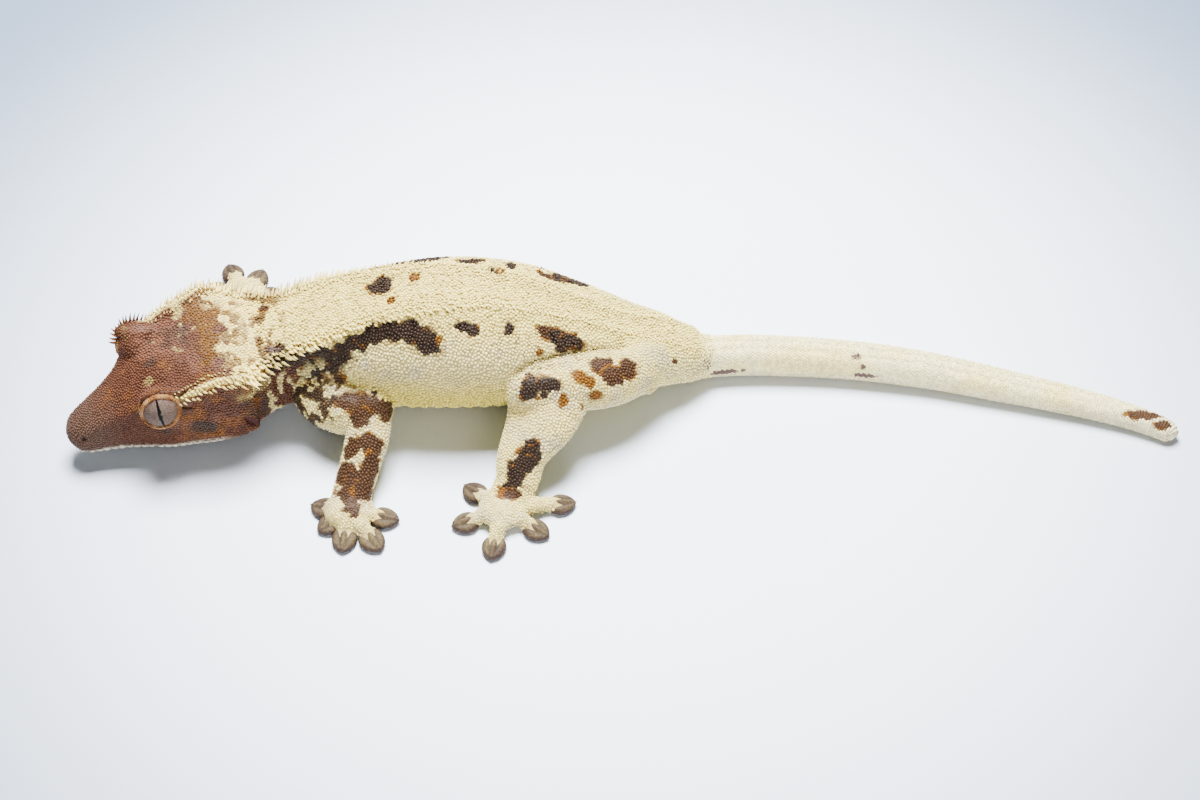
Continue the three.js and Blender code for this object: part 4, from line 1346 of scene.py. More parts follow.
def scatter(
    vertices: np.ndarray, faces: np.ndarray, spacing: np.ndarray, seed: int, crowd: float = 9.0
) -> tuple[np.ndarray, np.ndarray, np.ndarray]:
    """Spreads points over a surface so that none is nearer to another than the spacing there.

    Many places are drawn at random, with a share of each face for its area, and taken in order from the snout
    back. Each one that is kept removes those within the spacing, which packs them in close, crooked rows.

    Args:
        vertices: places of the surface.
        faces: rows of four vertex numbers.
        spacing: the spacing at each vertex.
        seed: seed of the random draws.
        crowd: places drawn for each one that could be kept.

    Returns:
        The kept points, the face that each lies on, and the spacing at each.
    """
    draw = np.random.default_rng(seed)
    a, b, c, d = (vertices[faces[:, k]] for k in range(4))
    area = 0.5 * np.linalg.norm(np.cross(c - a, d - b), axis=-1)
    wide = spacing[faces].mean(axis=1)
    share = area / wide**2
    total = int(share.sum() * crowd)
    face = draw.choice(len(faces), total, p=share / share.sum())
    u, v = draw.random(total)[:, None], draw.random(total)[:, None]
    points = (a[face] * (1 - u) + b[face] * u) * (1 - v) + (d[face] * (1 - u) + c[face] * u) * v
    order = np.argsort(points[:, 0] + 0.6 * points[:, 2])
    tree = point_tree(points)
    free = np.ones(total, bool)
    kept = []
    reach = wide[face]
    for number in order.tolist():
        if not free[number]:
            continue
        kept.append(number)
        near = [found[1] for found in tree.find_range(points[number], reach[number])]
        free[near] = False
    kept = np.array(kept)
    return points[kept], face[kept], reach[kept]


@dataclass
class Spines:
    """Many thin curved cones: root, direction, length, radius, colour, bend and wide way of each."""

    roots: np.ndarray
    directions: np.ndarray
    lengths: np.ndarray
    radii: np.ndarray
    colours: np.ndarray
    bend: np.ndarray
    wide: np.ndarray
    flat: float = 0.75
    sides: int = 6

    def mesh(self, name: str, places: np.ndarray) -> bpy.types.Mesh:
        """Makes all the spines as one mesh of closed shells.

        A spine's middle line runs from its root along its direction and curves by the bend times the square
        of the share of its length. Its radius falls as one minus the share to the power 1.3, with the root
        below the skin.

        Args:
            name: the mesh's name.
            places: where each is on the flat map.

        Returns:
            The mesh.
        """
        count = len(self.roots)
        shares = np.array([-0.35, 0.05, 0.40, 0.75])
        radius = np.array([1.0, 1.0, 0.66, 0.30])
        lean = np.einsum("ij,ij->i", self.wide, self.directions)[:, None]
        across = unit(self.wide - self.directions * lean)
        thick = np.cross(self.directions, across)
        turn = 2.0 * math.pi * np.arange(self.sides) / self.sides
        ring = np.cos(turn)[None, :, None] * across[:, None, :]
        ring = ring + np.sin(turn)[None, :, None] * thick[:, None, :] * self.flat
        ahead = (self.lengths[:, None] * shares)[:, :, None]
        curve = (self.lengths[:, None] * np.maximum(shares, 0.0) ** 2)[:, :, None]
        line = self.roots[:, None, :] + self.directions[:, None, :] * ahead
        line = line + self.bend[:, None, :] * curve
        body = line[:, :, None, :] + ring[:, None] * (self.radii[:, None] * radius)[:, :, None, None]
        tip = self.roots + (self.directions + self.bend) * self.lengths[:, None]
        vertices = np.concatenate([body.reshape(count, -1, 3), tip[:, None, :]], axis=1)
        k = np.arange(self.sides)
        after = (k + 1) % self.sides
        rows = [np.c_[k, after, after + self.sides] + self.sides * ring_no for ring_no in range(3)]
        rows += [np.c_[k, after + self.sides, k + self.sides] + self.sides * ring_no for ring_no in range(3)]
        rows.append(np.c_[k + 3 * self.sides, after + 3 * self.sides, np.full(self.sides, 4 * self.sides)])
        rows.append(np.c_[np.zeros(self.sides - 2, int), k[2:], k[1:-1]])
        shell = outward(vertices[0], np.concatenate(rows))
        # Painted shade at the root where the spine meets the skin, and a faint painted highlight towards the
        # tip.
        shade = np.concatenate([np.repeat([0.7, 0.85, 1.0, 1.04], self.sides), [1.06]])
        flat_ring = np.stack([np.cos(turn), np.sin(turn)], axis=-1)
        spread = np.repeat([0.0015, 0.0013, 0.0009, 0.0004], self.sides)[:, None]
        flat = np.concatenate([np.tile(flat_ring, (4, 1)) * spread, np.zeros((1, 2))])
        return alike_shells(name, vertices, shell, (self.colours, shade), (places, flat))


# Shader expressions.


class Wire:
    """A socket of a material, with arithmetic that adds nodes."""

    def __init__(self, finish: "Finish", socket: bpy.types.NodeSocket) -> None:
        """Keeps the finish that owns the nodes, and the socket."""
        self.finish = finish
        self.socket = socket

    def _math(self, operation: str, *values: "Wire | float") -> "Wire":
        """Adds a Math node."""
        return self.finish.node("ShaderNodeMath", {"operation": operation}, *values)

    def __add__(self, other: "Wire | float") -> "Wire":
        """Sum."""
        return self._math("ADD", self, other)

    def __sub__(self, other: "Wire | float") -> "Wire":
        """Difference."""
        return self._math("SUBTRACT", self, other)

    def __rsub__(self, other: float) -> "Wire":
        """Difference from a number."""
        return self._math("SUBTRACT", other, self)

    def __mul__(self, other: "Wire | float") -> "Wire":
        """Product."""
        return self._math("MULTIPLY", self, other)

    def __truediv__(self, other: "Wire | float") -> "Wire":
        """Quotient."""
        return self._math("DIVIDE", self, other)

    def __pow__(self, other: float) -> "Wire":
        """Power."""
        return self._math("POWER", self, other)

    def absolute(self) -> "Wire":
        """Size without sign."""
        return self._math("ABSOLUTE", self)

    def step(self, low: float, high: float) -> "Wire":
        """A smooth rise from 0 to 1 between two values."""
        settings = {"interpolation_type": "SMOOTHSTEP"}
        return self.finish.node("ShaderNodeMapRange", settings, self, low, high)

    __radd__ = __add__
    __rmul__ = __mul__


class Finish:
    """A material under construction."""

    def __init__(self, name: str, **constants: float) -> None:
        """Starts a material.

        Args:
            name: its name.
            constants: values for the shader's own sockets, with underscores for spaces.
        """
        self.material = bpy.data.materials.new(name)
        self.material.use_nodes = True
        self.tree = self.material.node_tree
        self.shader = self.tree.nodes["Principled BSDF"]
        for key, value in constants.items():
            self.shader.inputs[key.replace("_", " ")].default_value = value

    def node(
        self, kind: str, settings: dict, *values: "Wire | float | None",
        output: int | str = 0, **named: object,
    ) -> Wire:
        """Adds a node, its settings first, then the values or links of its sockets.

        Args:
            kind: the node's type.
            settings: its properties.
            values: values or links for its sockets in order, with None to leave one alone.
            output: which output to return.
            named: values or links by socket name, with underscores for spaces.

        Returns:
            The output.
        """
        made = self.tree.nodes.new(kind)
        for key, value in settings.items():
            setattr(made, key, value)
        pairs = list(zip(made.inputs, values))
        pairs += [(made.inputs[key.replace("_", " ")], value) for key, value in named.items()]
        for socket, value in pairs:
            if isinstance(value, Wire):
                self.tree.links.new(value.socket, socket)
            elif value is not None:
                socket.default_value = value
        return Wire(self, made.outputs[output])

    def mix(self, share: "Wire | float", first: object, second: object, mode: str = "MIX") -> Wire:
        """Mixes two colours by a share."""
        made = self.tree.nodes.new("ShaderNodeMix")
        made.data_type = "RGBA"
        made.blend_type = mode
        for socket, value in zip((made.inputs[0], made.inputs[6], made.inputs[7]), (share, first, second)):
            if isinstance(value, Wire):
                self.tree.links.new(value.socket, socket)
            else:
                socket.default_value = value if isinstance(value, float) else (*value, 1.0)
        return Wire(self, made.outputs[2])

    def place(self) -> Wire:
        """Object coordinates, in metres."""
        return self.node("ShaderNodeTexCoord", {}, output="Object")

    def grain(self, size: float, detail: float = 3.0) -> Wire:
        """Noise from 0 to 1 with patches of a size in metres."""
        return self.node("ShaderNodeTexNoise", {}, Vector=self.place(), Scale=1.0 / size, Detail=detail)

    def bump(self, height: Wire, depth: float, strength: float = 1.0) -> None:
        """Raises the surface by a height from 0 to 1 times a depth in metres."""
        normal = self.node("ShaderNodeBump", {}, Height=height, Distance=depth, Strength=strength)
        self.wire("Normal", normal)

    def wire(self, name: str, value: Wire) -> None:
        """Links a value to the shader."""
        self.tree.links.new(value.socket, self.shader.inputs[name])


@dataclass(frozen=True)
class ScalyFinish:
    """Skin or scales in the stored colours, mottled a little, with a soft shine."""

    name: str
    roughness: float = 0.5
    pebble: float = 0.00042
    depth: float = 0.00006
    mottle: float = 0.22

    def make(self) -> bpy.types.Material:
        """Makes the material."""
        finish = Finish(self.name, Specular_IOR_Level=0.14)
        colour = finish.node("ShaderNodeAttribute", {"attribute_name": "Marking"}, output="Color")
        cloud = finish.grain(0.0007, 4.0)
        darker = finish.mix(1.0, colour, (1.0 - self.mottle,) * 3, "MULTIPLY")
        finish.wire("Base Color", finish.mix(cloud.step(0.62, 0.38), colour, darker))
        finish.wire("Roughness", self.roughness - 0.06 + 0.14 * finish.grain(0.0012))
        cells = finish.node(
            "ShaderNodeTexVoronoi", {"feature": "SMOOTH_F1"},
            Vector=finish.place(), Scale=1.0 / self.pebble, Smoothness=0.4,
        )
        finish.bump(1.0 - cells, self.depth)
        return finish.material


@dataclass(frozen=True)
class IrisFinish:
    """A silver-grey iris with fine red-brown veins round a black slit."""

    name: str = "iris"

    def make(self) -> bpy.types.Material:
        """Makes the material, from the eye's own map with 0.5, 0.5 where it looks."""
        finish = Finish(
            self.name, Roughness=0.5, Coat_Weight=0.03, Coat_Roughness=0.08, Specular_IOR_Level=0.04
        )
        uv = finish.node("ShaderNodeUVMap", {"uv_map": "Iris"})
        x = finish.node("ShaderNodeSeparateXYZ", {}, uv, output="X") - 0.5
        y = finish.node("ShaderNodeSeparateXYZ", {}, uv, output="Y") - 0.5
        radius = (x * x + y * y) ** 0.5
        turn = finish.node("ShaderNodeMath", {"operation": "ARCTAN2"}, y, x)
        spoke = finish.node("ShaderNodeCombineXYZ", {}, turn * 3.4, radius * 5.0, 0.0)
        vein = finish.node("ShaderNodeTexNoise", {}, Vector=spoke, Scale=3.2, Detail=6.0, Distortion=1.2)
        fleck = finish.node("ShaderNodeTexNoise", {}, Vector=uv, Scale=26.0, Detail=5.0, Distortion=0.6)
        silver = finish.mix(fleck, (0.044, 0.029, 0.023), (0.150, 0.118, 0.098))
        veins = (vein - 0.5).absolute().step(0.050, 0.006)
        colour = finish.mix(veins * 0.95, silver, (0.050, 0.011, 0.005))
        rusty = radius.step(0.26, 0.42) * fleck.step(0.35, 0.6)
        colour = finish.mix(rusty * 0.6, colour, (0.085, 0.026, 0.011))
        edge = finish.node("ShaderNodeTexNoise", {}, Vector=uv, Scale=17.0, Detail=2.0)
        slant = x + y * 0.14
        width = (0.5 - y.absolute()) * 0.075 + (edge - 0.5) * 0.035
        slit = (width - slant.absolute()).step(-0.006, 0.006)
        colour = finish.mix(slit, colour, (0.002, 0.002, 0.002))
        colour = finish.mix(radius.step(0.385, 0.47) * 0.9, colour, (0.02, 0.010, 0.007))
        finish.wire("Base Color", colour)
        finish.bump(vein, 0.00004, 0.5)
        return finish.material


@dataclass(frozen=True)
class PadFinish:
    """Soft taupe toe pad with fine creases across it."""

    name: str = "toe_pad"

    def make(self) -> bpy.types.Material:
        """Makes the material."""
        finish = Finish(self.name, Specular_IOR_Level=0.12)
        colour = finish.node("ShaderNodeAttribute", {"attribute_name": "Marking"}, output="Color")
        dark = finish.mix(1.0, colour, (0.62, 0.58, 0.56), "MULTIPLY")
        cloud = finish.grain(0.0005, 5.0)
        finish.wire("Base Color", finish.mix(cloud.step(0.40, 0.62), dark, colour))
        finish.wire("Roughness", 0.50 + 0.2 * cloud)
        finish.bump(finish.grain(0.00028, 3.0), 0.00007)
        return finish.material


@dataclass(frozen=True)
class ClawFinish:
    """Dark horn, mottled a little lighter."""

    name: str = "claw_horn"

    def make(self) -> bpy.types.Material:
        """Makes the material."""
        finish = Finish(self.name, Specular_IOR_Level=0.5)
        cloud = finish.grain(0.0006, 3.0)
        finish.wire("Base Color", finish.mix(cloud, (0.010, 0.006, 0.004), (0.036, 0.022, 0.016)))
        finish.wire("Roughness", 0.28 + 0.15 * cloud)
        return finish.material


@dataclass(frozen=True)
class FloorFinish:
    """A plain pale floor, faintly blue, with a painted falloff of light: darker away from the middle."""

    name: str = "pale_floor"
    colour: tuple[float, float, float] = (0.78, 0.85, 0.97)
    # edge is the floor colour far from the middle: painted falloff of the light.
    edge: tuple[float, float, float] = (0.13, 0.18, 0.27)

    def make(self) -> bpy.types.Material:
        """Makes the material."""
        finish = Finish(self.name, Specular_IOR_Level=0.2)
        away = finish.node("ShaderNodeVectorMath", {"operation": "LENGTH"}, finish.place(), output="Value")
        # Painted falloff of light: the floor darkens from 0.045 to 0.18 m from its middle.
        finish.wire("Base Color", finish.mix(away.step(0.045, 0.18), self.colour, self.edge))
        finish.wire("Roughness", 0.5 + 0.1 * finish.grain(0.22, 2.0))
        return finish.material


# Pieces of the animal.


@dataclass
class Scales:
    """The raised scales all over the skin, bedded closely, with their size by region."""

    skin: Skin
    seed: int = SEED
    spacings: tuple[float, ...] = (0.50, 0.52, 0.60, 0.50, 0.46)  # by region
    tail_ring: float = 0.50
    tail_scale: float = 0.56

    def spacing(self) -> np.ndarray:
        """Works out the spacing of the scales at each vertex of the skin, in millimetres.

        Returns:
            One spacing for each vertex.
        """
        points, region = self.skin.vertices, self.skin.regions
        base = np.array(self.spacings)[region]
        back, _, _ = HEAD.local(points)
        head = region == Region.HEAD
        base = np.where(head, 0.40 + 0.12 * smooth(6.0, 24.0, back), base)
        trunk = region == Region.TRUNK
        base = np.where(trunk, 0.52 + 0.05 * smooth(0.9, 0.2, self.skin.normals[:, 2]), base)
        base = np.where(points[:, 2] < 1.5, 0.8, base)
        return base * (1.0 + 0.14 * noise(points, 3.0, 91))

    def beads(self) -> Beads:
        """Spreads the scales over the skin and gives each its size, height and colour.

        Returns:
            All the domes.
        """
        skin = self.skin
        roots, face, reach = scatter(skin.vertices, skin.faces, self.spacing(), self.seed)
        normals = unit(skin.normals[skin.faces[face]].mean(axis=1))
        region = skin.regions[skin.faces[face][:, 0]]
        back, left, up = HEAD.local(roots)
        clear = (roots[:, 2] > 0.55) & ~on_pads(roots)
        clear &= ~((region == Region.TAIL) & (roots[:, 0] > 18.2))
        mouth = np.abs(up - mouth_height(back)) < 0.26
        clear &= ~((region == Region.HEAD) & mouth & (back < MOUTH_CORNER) & (normals[:, 2] < 0.8))
        for side in Side:
            away = roots - eye_centre(side)
            far = np.linalg.norm(away, axis=-1)
            share = EyeSocket(side).opening(away / far[:, None])
            clear &= ~((share < 1.36) & (far < EYE_RADIUS + 2.2))
            ear = np.hypot((back - EAR_BACK + 0.5 * (up - 9.4)) / 0.8, (up - 9.4) / 1.9)
            clear &= ~((ear < 1.0) & (side.value * left > 6.0))
        roots, normals, region, reach = roots[clear], normals[clear], region[clear], reach[clear]
        draw = np.random.default_rng(self.seed + 5)
        radii = 0.57 * reach * draw.uniform(0.90, 1.08, len(roots))
        top = smooth(0.55, 0.95, normals[:, 2]) * (region == Region.TRUNK)
        heights = radii * (0.72 + 0.12 * draw.standard_normal(len(roots)).clip(-1.5, 1.5))
        fuzz = top * (draw.random(len(roots)) < 0.30)
        heights = heights * (1.0 + 1.1 * fuzz)
        heights = np.where(region == Region.FOOT, 0.7 * heights, heights)
        colour = skin_colour(roots, region) * draw.uniform(0.86, 1.14, len(roots))[:, None]
        _, places = skin.map.read(roots)
        in_head = (region == Region.HEAD)[:, None]
        along_body = np.where(in_head, np.append(-HEAD.forward, 0.0), [1.0, 0.06, 0.0])
        stretch = np.where(region == Region.HEAD, 1.0, 1.06)
        return Beads(roots, normals, radii, heights, colour, places, stretch, along_body + 0.001)

    def tail_beads(self) -> Beads:
        """Lays rings of small flat scales round the tail, each ring half a scale round from the one before.

        Returns:
            The domes.
        """
        t = np.linspace(20.2, LAST - 0.3, 6000)
        middle = along(BODY, t)
        length = travelled(middle[:, :2])
        stations, turns = [], []
        for number, mark in enumerate(np.arange(0.0, length[-1], self.tail_ring)):
            station = np.interp(mark, length, t)
            half = along(BODY, np.array(station))[HALF]
            count = int(2.0 * math.pi * half / self.tail_scale)
            turns.append((np.arange(count) + 0.5 * (number % 2)) / count * 2.0 * math.pi)
            stations.append(np.full(count, station))
        t, turn = np.concatenate(stations), np.concatenate(turns)
        draw = np.random.default_rng(self.seed + 9)
        t = t + draw.normal(0.0, 0.003, len(t))
        turn = turn + draw.normal(0.0, 0.012, len(turn))
        roots, outside = body_surface(t, turn, -0.30), body_surface(t, turn, 0.5)
        up = roots[:, 2] > 0.45
        roots, outside = roots[up], outside[up]
        tree = point_tree(self.skin.vertices)
        nearest = np.array([tree.find(root)[1] for root in roots])
        normals = unit(0.5 * self.skin.normals[nearest] + 0.5 * unit(outside - roots))
        gap = np.einsum("ij,ij->i", self.skin.vertices[nearest] - roots, normals)
        roots = roots + normals * gap[:, None]
        radii = np.full(len(roots), 0.30) * draw.uniform(0.92, 1.06, len(roots))
        region = np.full(len(roots), Region.TAIL)
        colour = skin_colour(roots, region) * draw.uniform(0.92, 1.08, len(roots))[:, None]
        _, places = self.skin.map.read(roots)
        backwards = np.tile([1.0, 0.0, 0.001], (len(roots), 1))
        return Beads(roots, normals, radii, radii * 0.42, colour, places, np.full(len(roots), 0.9), backwards)

    def make(self, finish: bpy.types.Material) -> None:
        """Makes the scales as pieces with a limited number of domes each, in order along the body."""
        tail = self.tail_beads()
        add_piece("tail_scales", tail.mesh("tail_scales"), finish)
        beads = self.beads()
        order = np.argsort(beads.roots[:, 0])
        groups = np.array_split(order, math.ceil(len(order) / SCALES_A_PIECE))
        LOG.info("scales: %d", len(order))
        for number, group in enumerate(groups):
            name = f"scales_{number}"
            add_piece(name, beads.part(group).mesh(name), finish)


@dataclass
class Crests:
    """Rows of soft spines on the two crests, from above the eyes along the back to the hips."""

    skin: Skin

    def row(self, side: Side, spacing: float, lift: float, scale: float, seed: int) -> list[np.ndarray]:
        """Lays one row of spines along a crest.

        Args:
            side: which crest.
            spacing: distance between spines.
            lift: turn of the row off the ridge, in radians, outwards if positive.
            scale: length against the main row.
            seed: seed of the random changes.

        Returns:
            Roots, directions, lengths, radii, colours, bends and wide ways.
        """
        draw = np.random.default_rng(seed)
        t = np.linspace(6.6, 19.6, 4000)
        line = crest_line(t, side)
        length = travelled(line)
        marks = np.arange(0.4, length[-1], spacing)
        marks = marks + draw.uniform(-0.28, 0.28, len(marks)) * spacing
        t = np.interp(marks, length, t)
        angle = np.radians(along(BODY, t)[..., CREST_ANGLE]) - lift + draw.normal(0.0, 0.018, len(t))
        turn = angle if side is Side.LEFT else math.pi - angle
        roots = body_surface(t, turn)
        outside = body_surface(t, turn, 1.0)
        backwards = unit(crest_line(t + 0.02, side) - crest_line(t - 0.02, side))
        level = unit((outside - roots) * np.array([1.0, 1.0, 0.0]))
        directions = unit(unit(outside - roots) * 0.7 + level * 0.8 + backwards * 0.35)
        far = 1.0 if side is Side.LEFT else 0.8
        long = far * np.interp(
            t, [6.6, 8.8, 10.0, 12.0, 13.0, 15.0, 19.6], [0.8, 1.4, 2.4, 1.9, 1.0, 0.7, 0.45]
        )
        lengths = long * scale * draw.uniform(0.75, 1.4, len(t))
        radii = np.interp(t, [6.6, 9.0, 10.0, 12.0, 14.0, 19.6], [0.24, 0.32, 0.46, 0.42, 0.32, 0.24])
        radii = radii * (0.5 + 0.5 * scale)
        radii = radii * draw.uniform(0.72, 1.0, len(t))
        region = np.where(t < SKULL_END, Region.HEAD, Region.TRUNK)
        colour = skin_colour(roots, region)
        colour = blend(colour, COLOURS.crest, np.full(len(t), 0.45))
        colour = colour * draw.uniform(0.92, 1.06, len(t))[:, None]
        bend = backwards * 0.22 + draw.normal(0.0, 0.05, (len(t), 3))
        return [roots - directions * 0.12, directions, lengths, radii, colour, bend, backwards]

    def make(self, finish: bpy.types.Material) -> None:
        """Makes all the crest rows as one piece."""
        rows = []
        for side in Side:
            seed = 40 + side.value
            rows.append(self.row(side, 0.84, 0.03, 1.0, seed))
            rows.append(self.row(side, 0.70, -0.06, 0.55, seed + 20))
            rows.append(self.row(side, 0.66, -0.14, 0.40, seed + 30))
        spines = Spines(*(np.concatenate(column) for column in zip(*rows)))
        _, places = self.skin.map.read(spines.roots)
        add_piece("crest_spines", spines.mesh("crest_spines", places), finish)


@dataclass
class Lashes:
    """The fringe of pointed scales that overhangs each eye."""

    skin: Skin
    count: int = 15

    def make(self, finish: bpy.types.Material) -> None:
        """Makes the lashes over both eyes as one piece."""
        columns = []
        for side in Side:
            draw = np.random.default_rng(70 + side.value)
            socket = EyeSocket(side)
            _, ahead, over = socket.axes()
            turn = np.linspace(math.radians(34), math.radians(152), self.count)
            turn = turn + draw.uniform(-0.03, 0.03, self.count)
            start = EYE_RADIUS + (0.25 if side is Side.LEFT else 0.75)
            outer = socket.surface(np.full(self.count, 1.42), turn, np.full(self.count, start))
            inner = socket.surface(np.full(self.count, 1.42), turn, np.full(self.count, EYE_RADIUS - 0.6))
            flat = ahead[None] * np.cos(turn)[:, None] + over[None] * np.sin(turn)[:, None]
            directions = unit(unit(outer - inner) * 0.85 + flat * 0.6)
            peak = np.sin(np.linspace(0.25, 2.9, self.count))
            longer = 0.6 if side is Side.LEFT else 1.5
            lengths = (0.65 + 0.8 * peak) * draw.uniform(0.85, 1.12, self.count) * longer
            radii = 0.27 + 0.08 * peak
            paler = draw.uniform(0.1, 0.75, self.count)
            rusty = blend(np.tile(COLOURS.rust, (self.count, 1)), COLOURS.canthus, paler)
            bend = -ahead[None] * 0.25 + draw.normal(0.0, 0.05, (self.count, 3))
            columns.append([outer, directions, lengths, radii, rusty, bend, np.tile(ahead, (self.count, 1))])
        spines = Spines(*(np.concatenate(column) for column in zip(*columns)))
        _, places = self.skin.map.read(spines.roots)
        add_piece("lashes", spines.mesh("lashes", places), finish)


# Rings of scales on the lid: share of the opening's angle, and height over the eyeball.
LID_RINGS = (
    (1.05, 0.24), (1.13, 0.28), (1.22, 0.18), (1.36, 0.07), (1.44, 0.14), (1.53, 0.17),
    (1.62, 0.11), (1.71, 0.02),
    (1.80, -0.12), (1.89, -0.32),
)


@dataclass
class Eye:
    """One eye: the ball with its iris, and the scaled ring of lid round it."""

    side: Side
    skin: Skin

    def ball(self, finish: bpy.types.Material) -> bpy.types.Object:
        """Makes the ball, with a map centred on the way it looks.

        Args:
            finish: the iris.

        Returns:
            The piece.
        """
        look, ahead, over = EyeSocket(self.side).axes()
        u = np.linspace(0.004, math.pi - 0.004, 64)[:, None]
        v = full_turn(96)[None, :]
        flat = ahead * np.cos(v)[..., None] + over * np.sin(v)[..., None]
        direction = look * np.cos(u)[..., None] + flat * np.sin(u)[..., None]
        points = eye_centre(self.side) + direction * EYE_RADIUS
        name = f"eye_{self.side.name.lower()}"
        vertices, faces = closed_grid(points)
        mesh = make_mesh(name, vertices, faces)
        away = unit(vertices - eye_centre(self.side))
        angle = np.arccos(np.clip(away @ look, -1, 1)) / math.radians(150)
        turn = np.arctan2(away @ over, away @ ahead)
        places = 0.5 + np.stack([np.cos(turn), np.sin(turn)], axis=-1) * angle[:, None]
        corner = np.empty(len(mesh.loops), int)
        mesh.loops.foreach_get("vertex_index", corner)
        layer = mesh.uv_layers.new(name="Iris")
        layer.data.foreach_set("uv", places[corner].astype(np.float32).ravel())
        piece = add_piece(name, mesh, finish)
        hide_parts(name)
        return piece

    def lid(self, finish: bpy.types.Material) -> bpy.types.Object:
        """Makes the lid, a rolled ring of skin with a second fold behind it.

        The profile is given by shares of the opening's angle and distances from the eye's centre, and closes
        under the skin. The roll is notched between its scales.

        Args:
            finish: the lid's finish.

        Returns:
            The piece.
        """
        r = EYE_RADIUS
        profile = np.array([
            (0.99, r - 0.45), (0.985, r + 0.02), (1.01, r + 0.20), (1.07, r + 0.32), (1.16, r + 0.30),
            (1.25, r + 0.16),
            (1.31, r + 0.05), (1.42, r + 0.16), (1.54, r + 0.20), (1.68, r + 0.08), (1.85, r - 0.25),
            (2.05, r - 1.1),
            (1.7, r - 1.4), (1.3, r - 1.2),
        ])
        smooth_rows = along(np.vstack([profile, profile[:1]]), np.linspace(0.0, len(profile), 57)[:-1])
        turn = full_turn(160)[None, :]
        share = smooth_rows[:, 0][:, None] + 0.0 * turn
        notch = 0.07 * bell(share - 1.09, 0.09) * np.cos(34.0 * turn)
        notch = notch + 0.05 * bell(share - 1.5, 0.12) * np.cos(40.0 * turn + 1.0)
        socket = EyeSocket(self.side)
        points = socket.surface(share, turn + 0.0 * share, smooth_rows[:, 1][:, None] + notch)
        rings, count = points.shape[:2]
        index = np.arange(rings * count).reshape(rings, count)
        after, below = np.roll(index, -1, axis=1), np.roll(index, -1, axis=0)
        across = np.roll(after, -1, axis=0)
        faces = np.stack([index.ravel(), after.ravel(), across.ravel(), below.ravel()], axis=-1)
        vertices = points.reshape(-1, 3)
        a, b, c = vertices[faces[:, 0]], vertices[faces[:, 1]], vertices[faces[:, 2]]
        faces = faces if np.einsum("ij,ij->", a, np.cross(b, c)) > 0.0 else faces[:, ::-1]
        name = f"lid_{self.side.name.lower()}"
        mesh = make_mesh(name, vertices, faces)
        add_colour(mesh, self.lid_colour(vertices, share.ravel(), (turn + 0.0 * share).ravel()))
        _, places = self.skin.map.read(vertices)
        add_flat_map(mesh, places)
        self.lid_scales(finish)
        return add_piece(name, mesh, finish)

    def lid_scales(self, finish: bpy.types.Material) -> None:
        """Lays rings of small scales on the rolls of the lid and out to the skin round it.

        Args:
            finish: the scales' finish.
        """
        socket = EyeSocket(self.side)
        draw = np.random.default_rng(120 + self.side.value)
        shares, turns, heights = [], [], []
        for share, rise in LID_RINGS:
            tilt = math.radians(min(share * 52.0, 90.0))
            round_length = 2.0 * math.pi * (EYE_RADIUS + rise) * math.sin(tilt)
            count = int(round_length / 0.40)
            turns.append(np.arange(count) / count * 2.0 * math.pi + share * 9.0)
            shares.append(np.full(count, share) + draw.normal(0.0, 0.012, count))
            heights.append(np.full(count, rise))
        share, turn, rise = (np.concatenate(column) for column in (shares, turns, heights))
        turn = turn + draw.normal(0.0, 0.015, len(turn))
        roots = socket.surface(share, turn, EYE_RADIUS + rise)
        normals = unit(roots - eye_centre(self.side))
        radii = np.full(len(roots), 0.22) * draw.uniform(0.85, 1.12, len(roots))
        colour = self.lid_colour(roots, share, turn) * draw.uniform(0.85, 1.15, len(roots))[:, None]
        _, places = self.skin.map.read(roots)
        tangent = np.tile(np.append(-HEAD.forward, 0.0) + 0.001, (len(roots), 1))
        beads = Beads(roots, normals, radii, radii * 0.75, colour, places, np.ones(len(roots)), tangent)
        name = f"lid_scales_{self.side.name.lower()}"
        add_piece(name, beads.mesh(name), finish)

    @staticmethod
    def lid_colour(points: np.ndarray, share: np.ndarray, turn: np.ndarray) -> np.ndarray:
        """Orange-brown towards the snout and below, cream behind and above, with painted shade in the folds.
        """
        rear = smooth(0.1, -0.6, np.cos(turn)) * smooth(-0.5, 0.3, np.sin(turn))
        rear = np.clip(rear + 0.35 * noise(points, 1.1, 95), 0.0, 1.0)
        patchy = smooth(-0.3, 0.5, noise(points, 1.3, 96))
        colour = blend(np.tile(COLOURS.canthus, (len(points), 1)), COLOURS.blush, 0.35 * patchy)
        colour = blend(colour, COLOURS.crest, 0.8 * rear * smooth(1.2, 1.5, share))
        # Painted shade: darker in the crease between the rolls and at the inner rim where the lid tucks
        # against the eyeball.
        fold = bell(share - 1.31, 0.05) + smooth(1.0, 0.97, share)
        shaded = colour * (1.0 - 0.5 * np.clip(fold, 0.0, 1.0))[:, None]
        return shaded * (0.9 + 0.12 * noise(points, 0.5, 97))[:, None]


PAD_LENGTH = 2.35  # of a pad, against its half width


def leaf_width(share: np.ndarray) -> np.ndarray:
    """Half width of a pad along its length: half an ellipse, then a curve from its widest place."""
    root = np.sqrt(np.clip(1.0 - ((share - 0.42) / 0.42) ** 2, 0.0, 1.0))
    front = np.clip(1.0 - np.abs((share - 0.42) / 0.58) ** 2.1, 0.0, 1.0) ** 0.68
    return np.where(share < 0.42, root, front)


def on_pads(points: np.ndarray) -> np.ndarray:
    """Tells which points lie within the outline of a pad, seen from above."""
    inside = np.zeros(len(points), bool)
    for limb in LIMBS:
        for tip in limb.tips:
            way = unit(np.array(tip) - np.array(limb.palm))
            away = np.array(tip) - points[:, :2]
            share = 1.0 - (away @ way + 0.1) / (limb.pad * PAD_LENGTH)
            across = np.abs(away @ np.array([-way[1], way[0]]))
            inside |= (share > 0.22) & (share < 1.2) & (across < limb.pad * leaf_width(share) * 0.96 + 0.05)
    return inside & (points[:, 2] < 3.2)


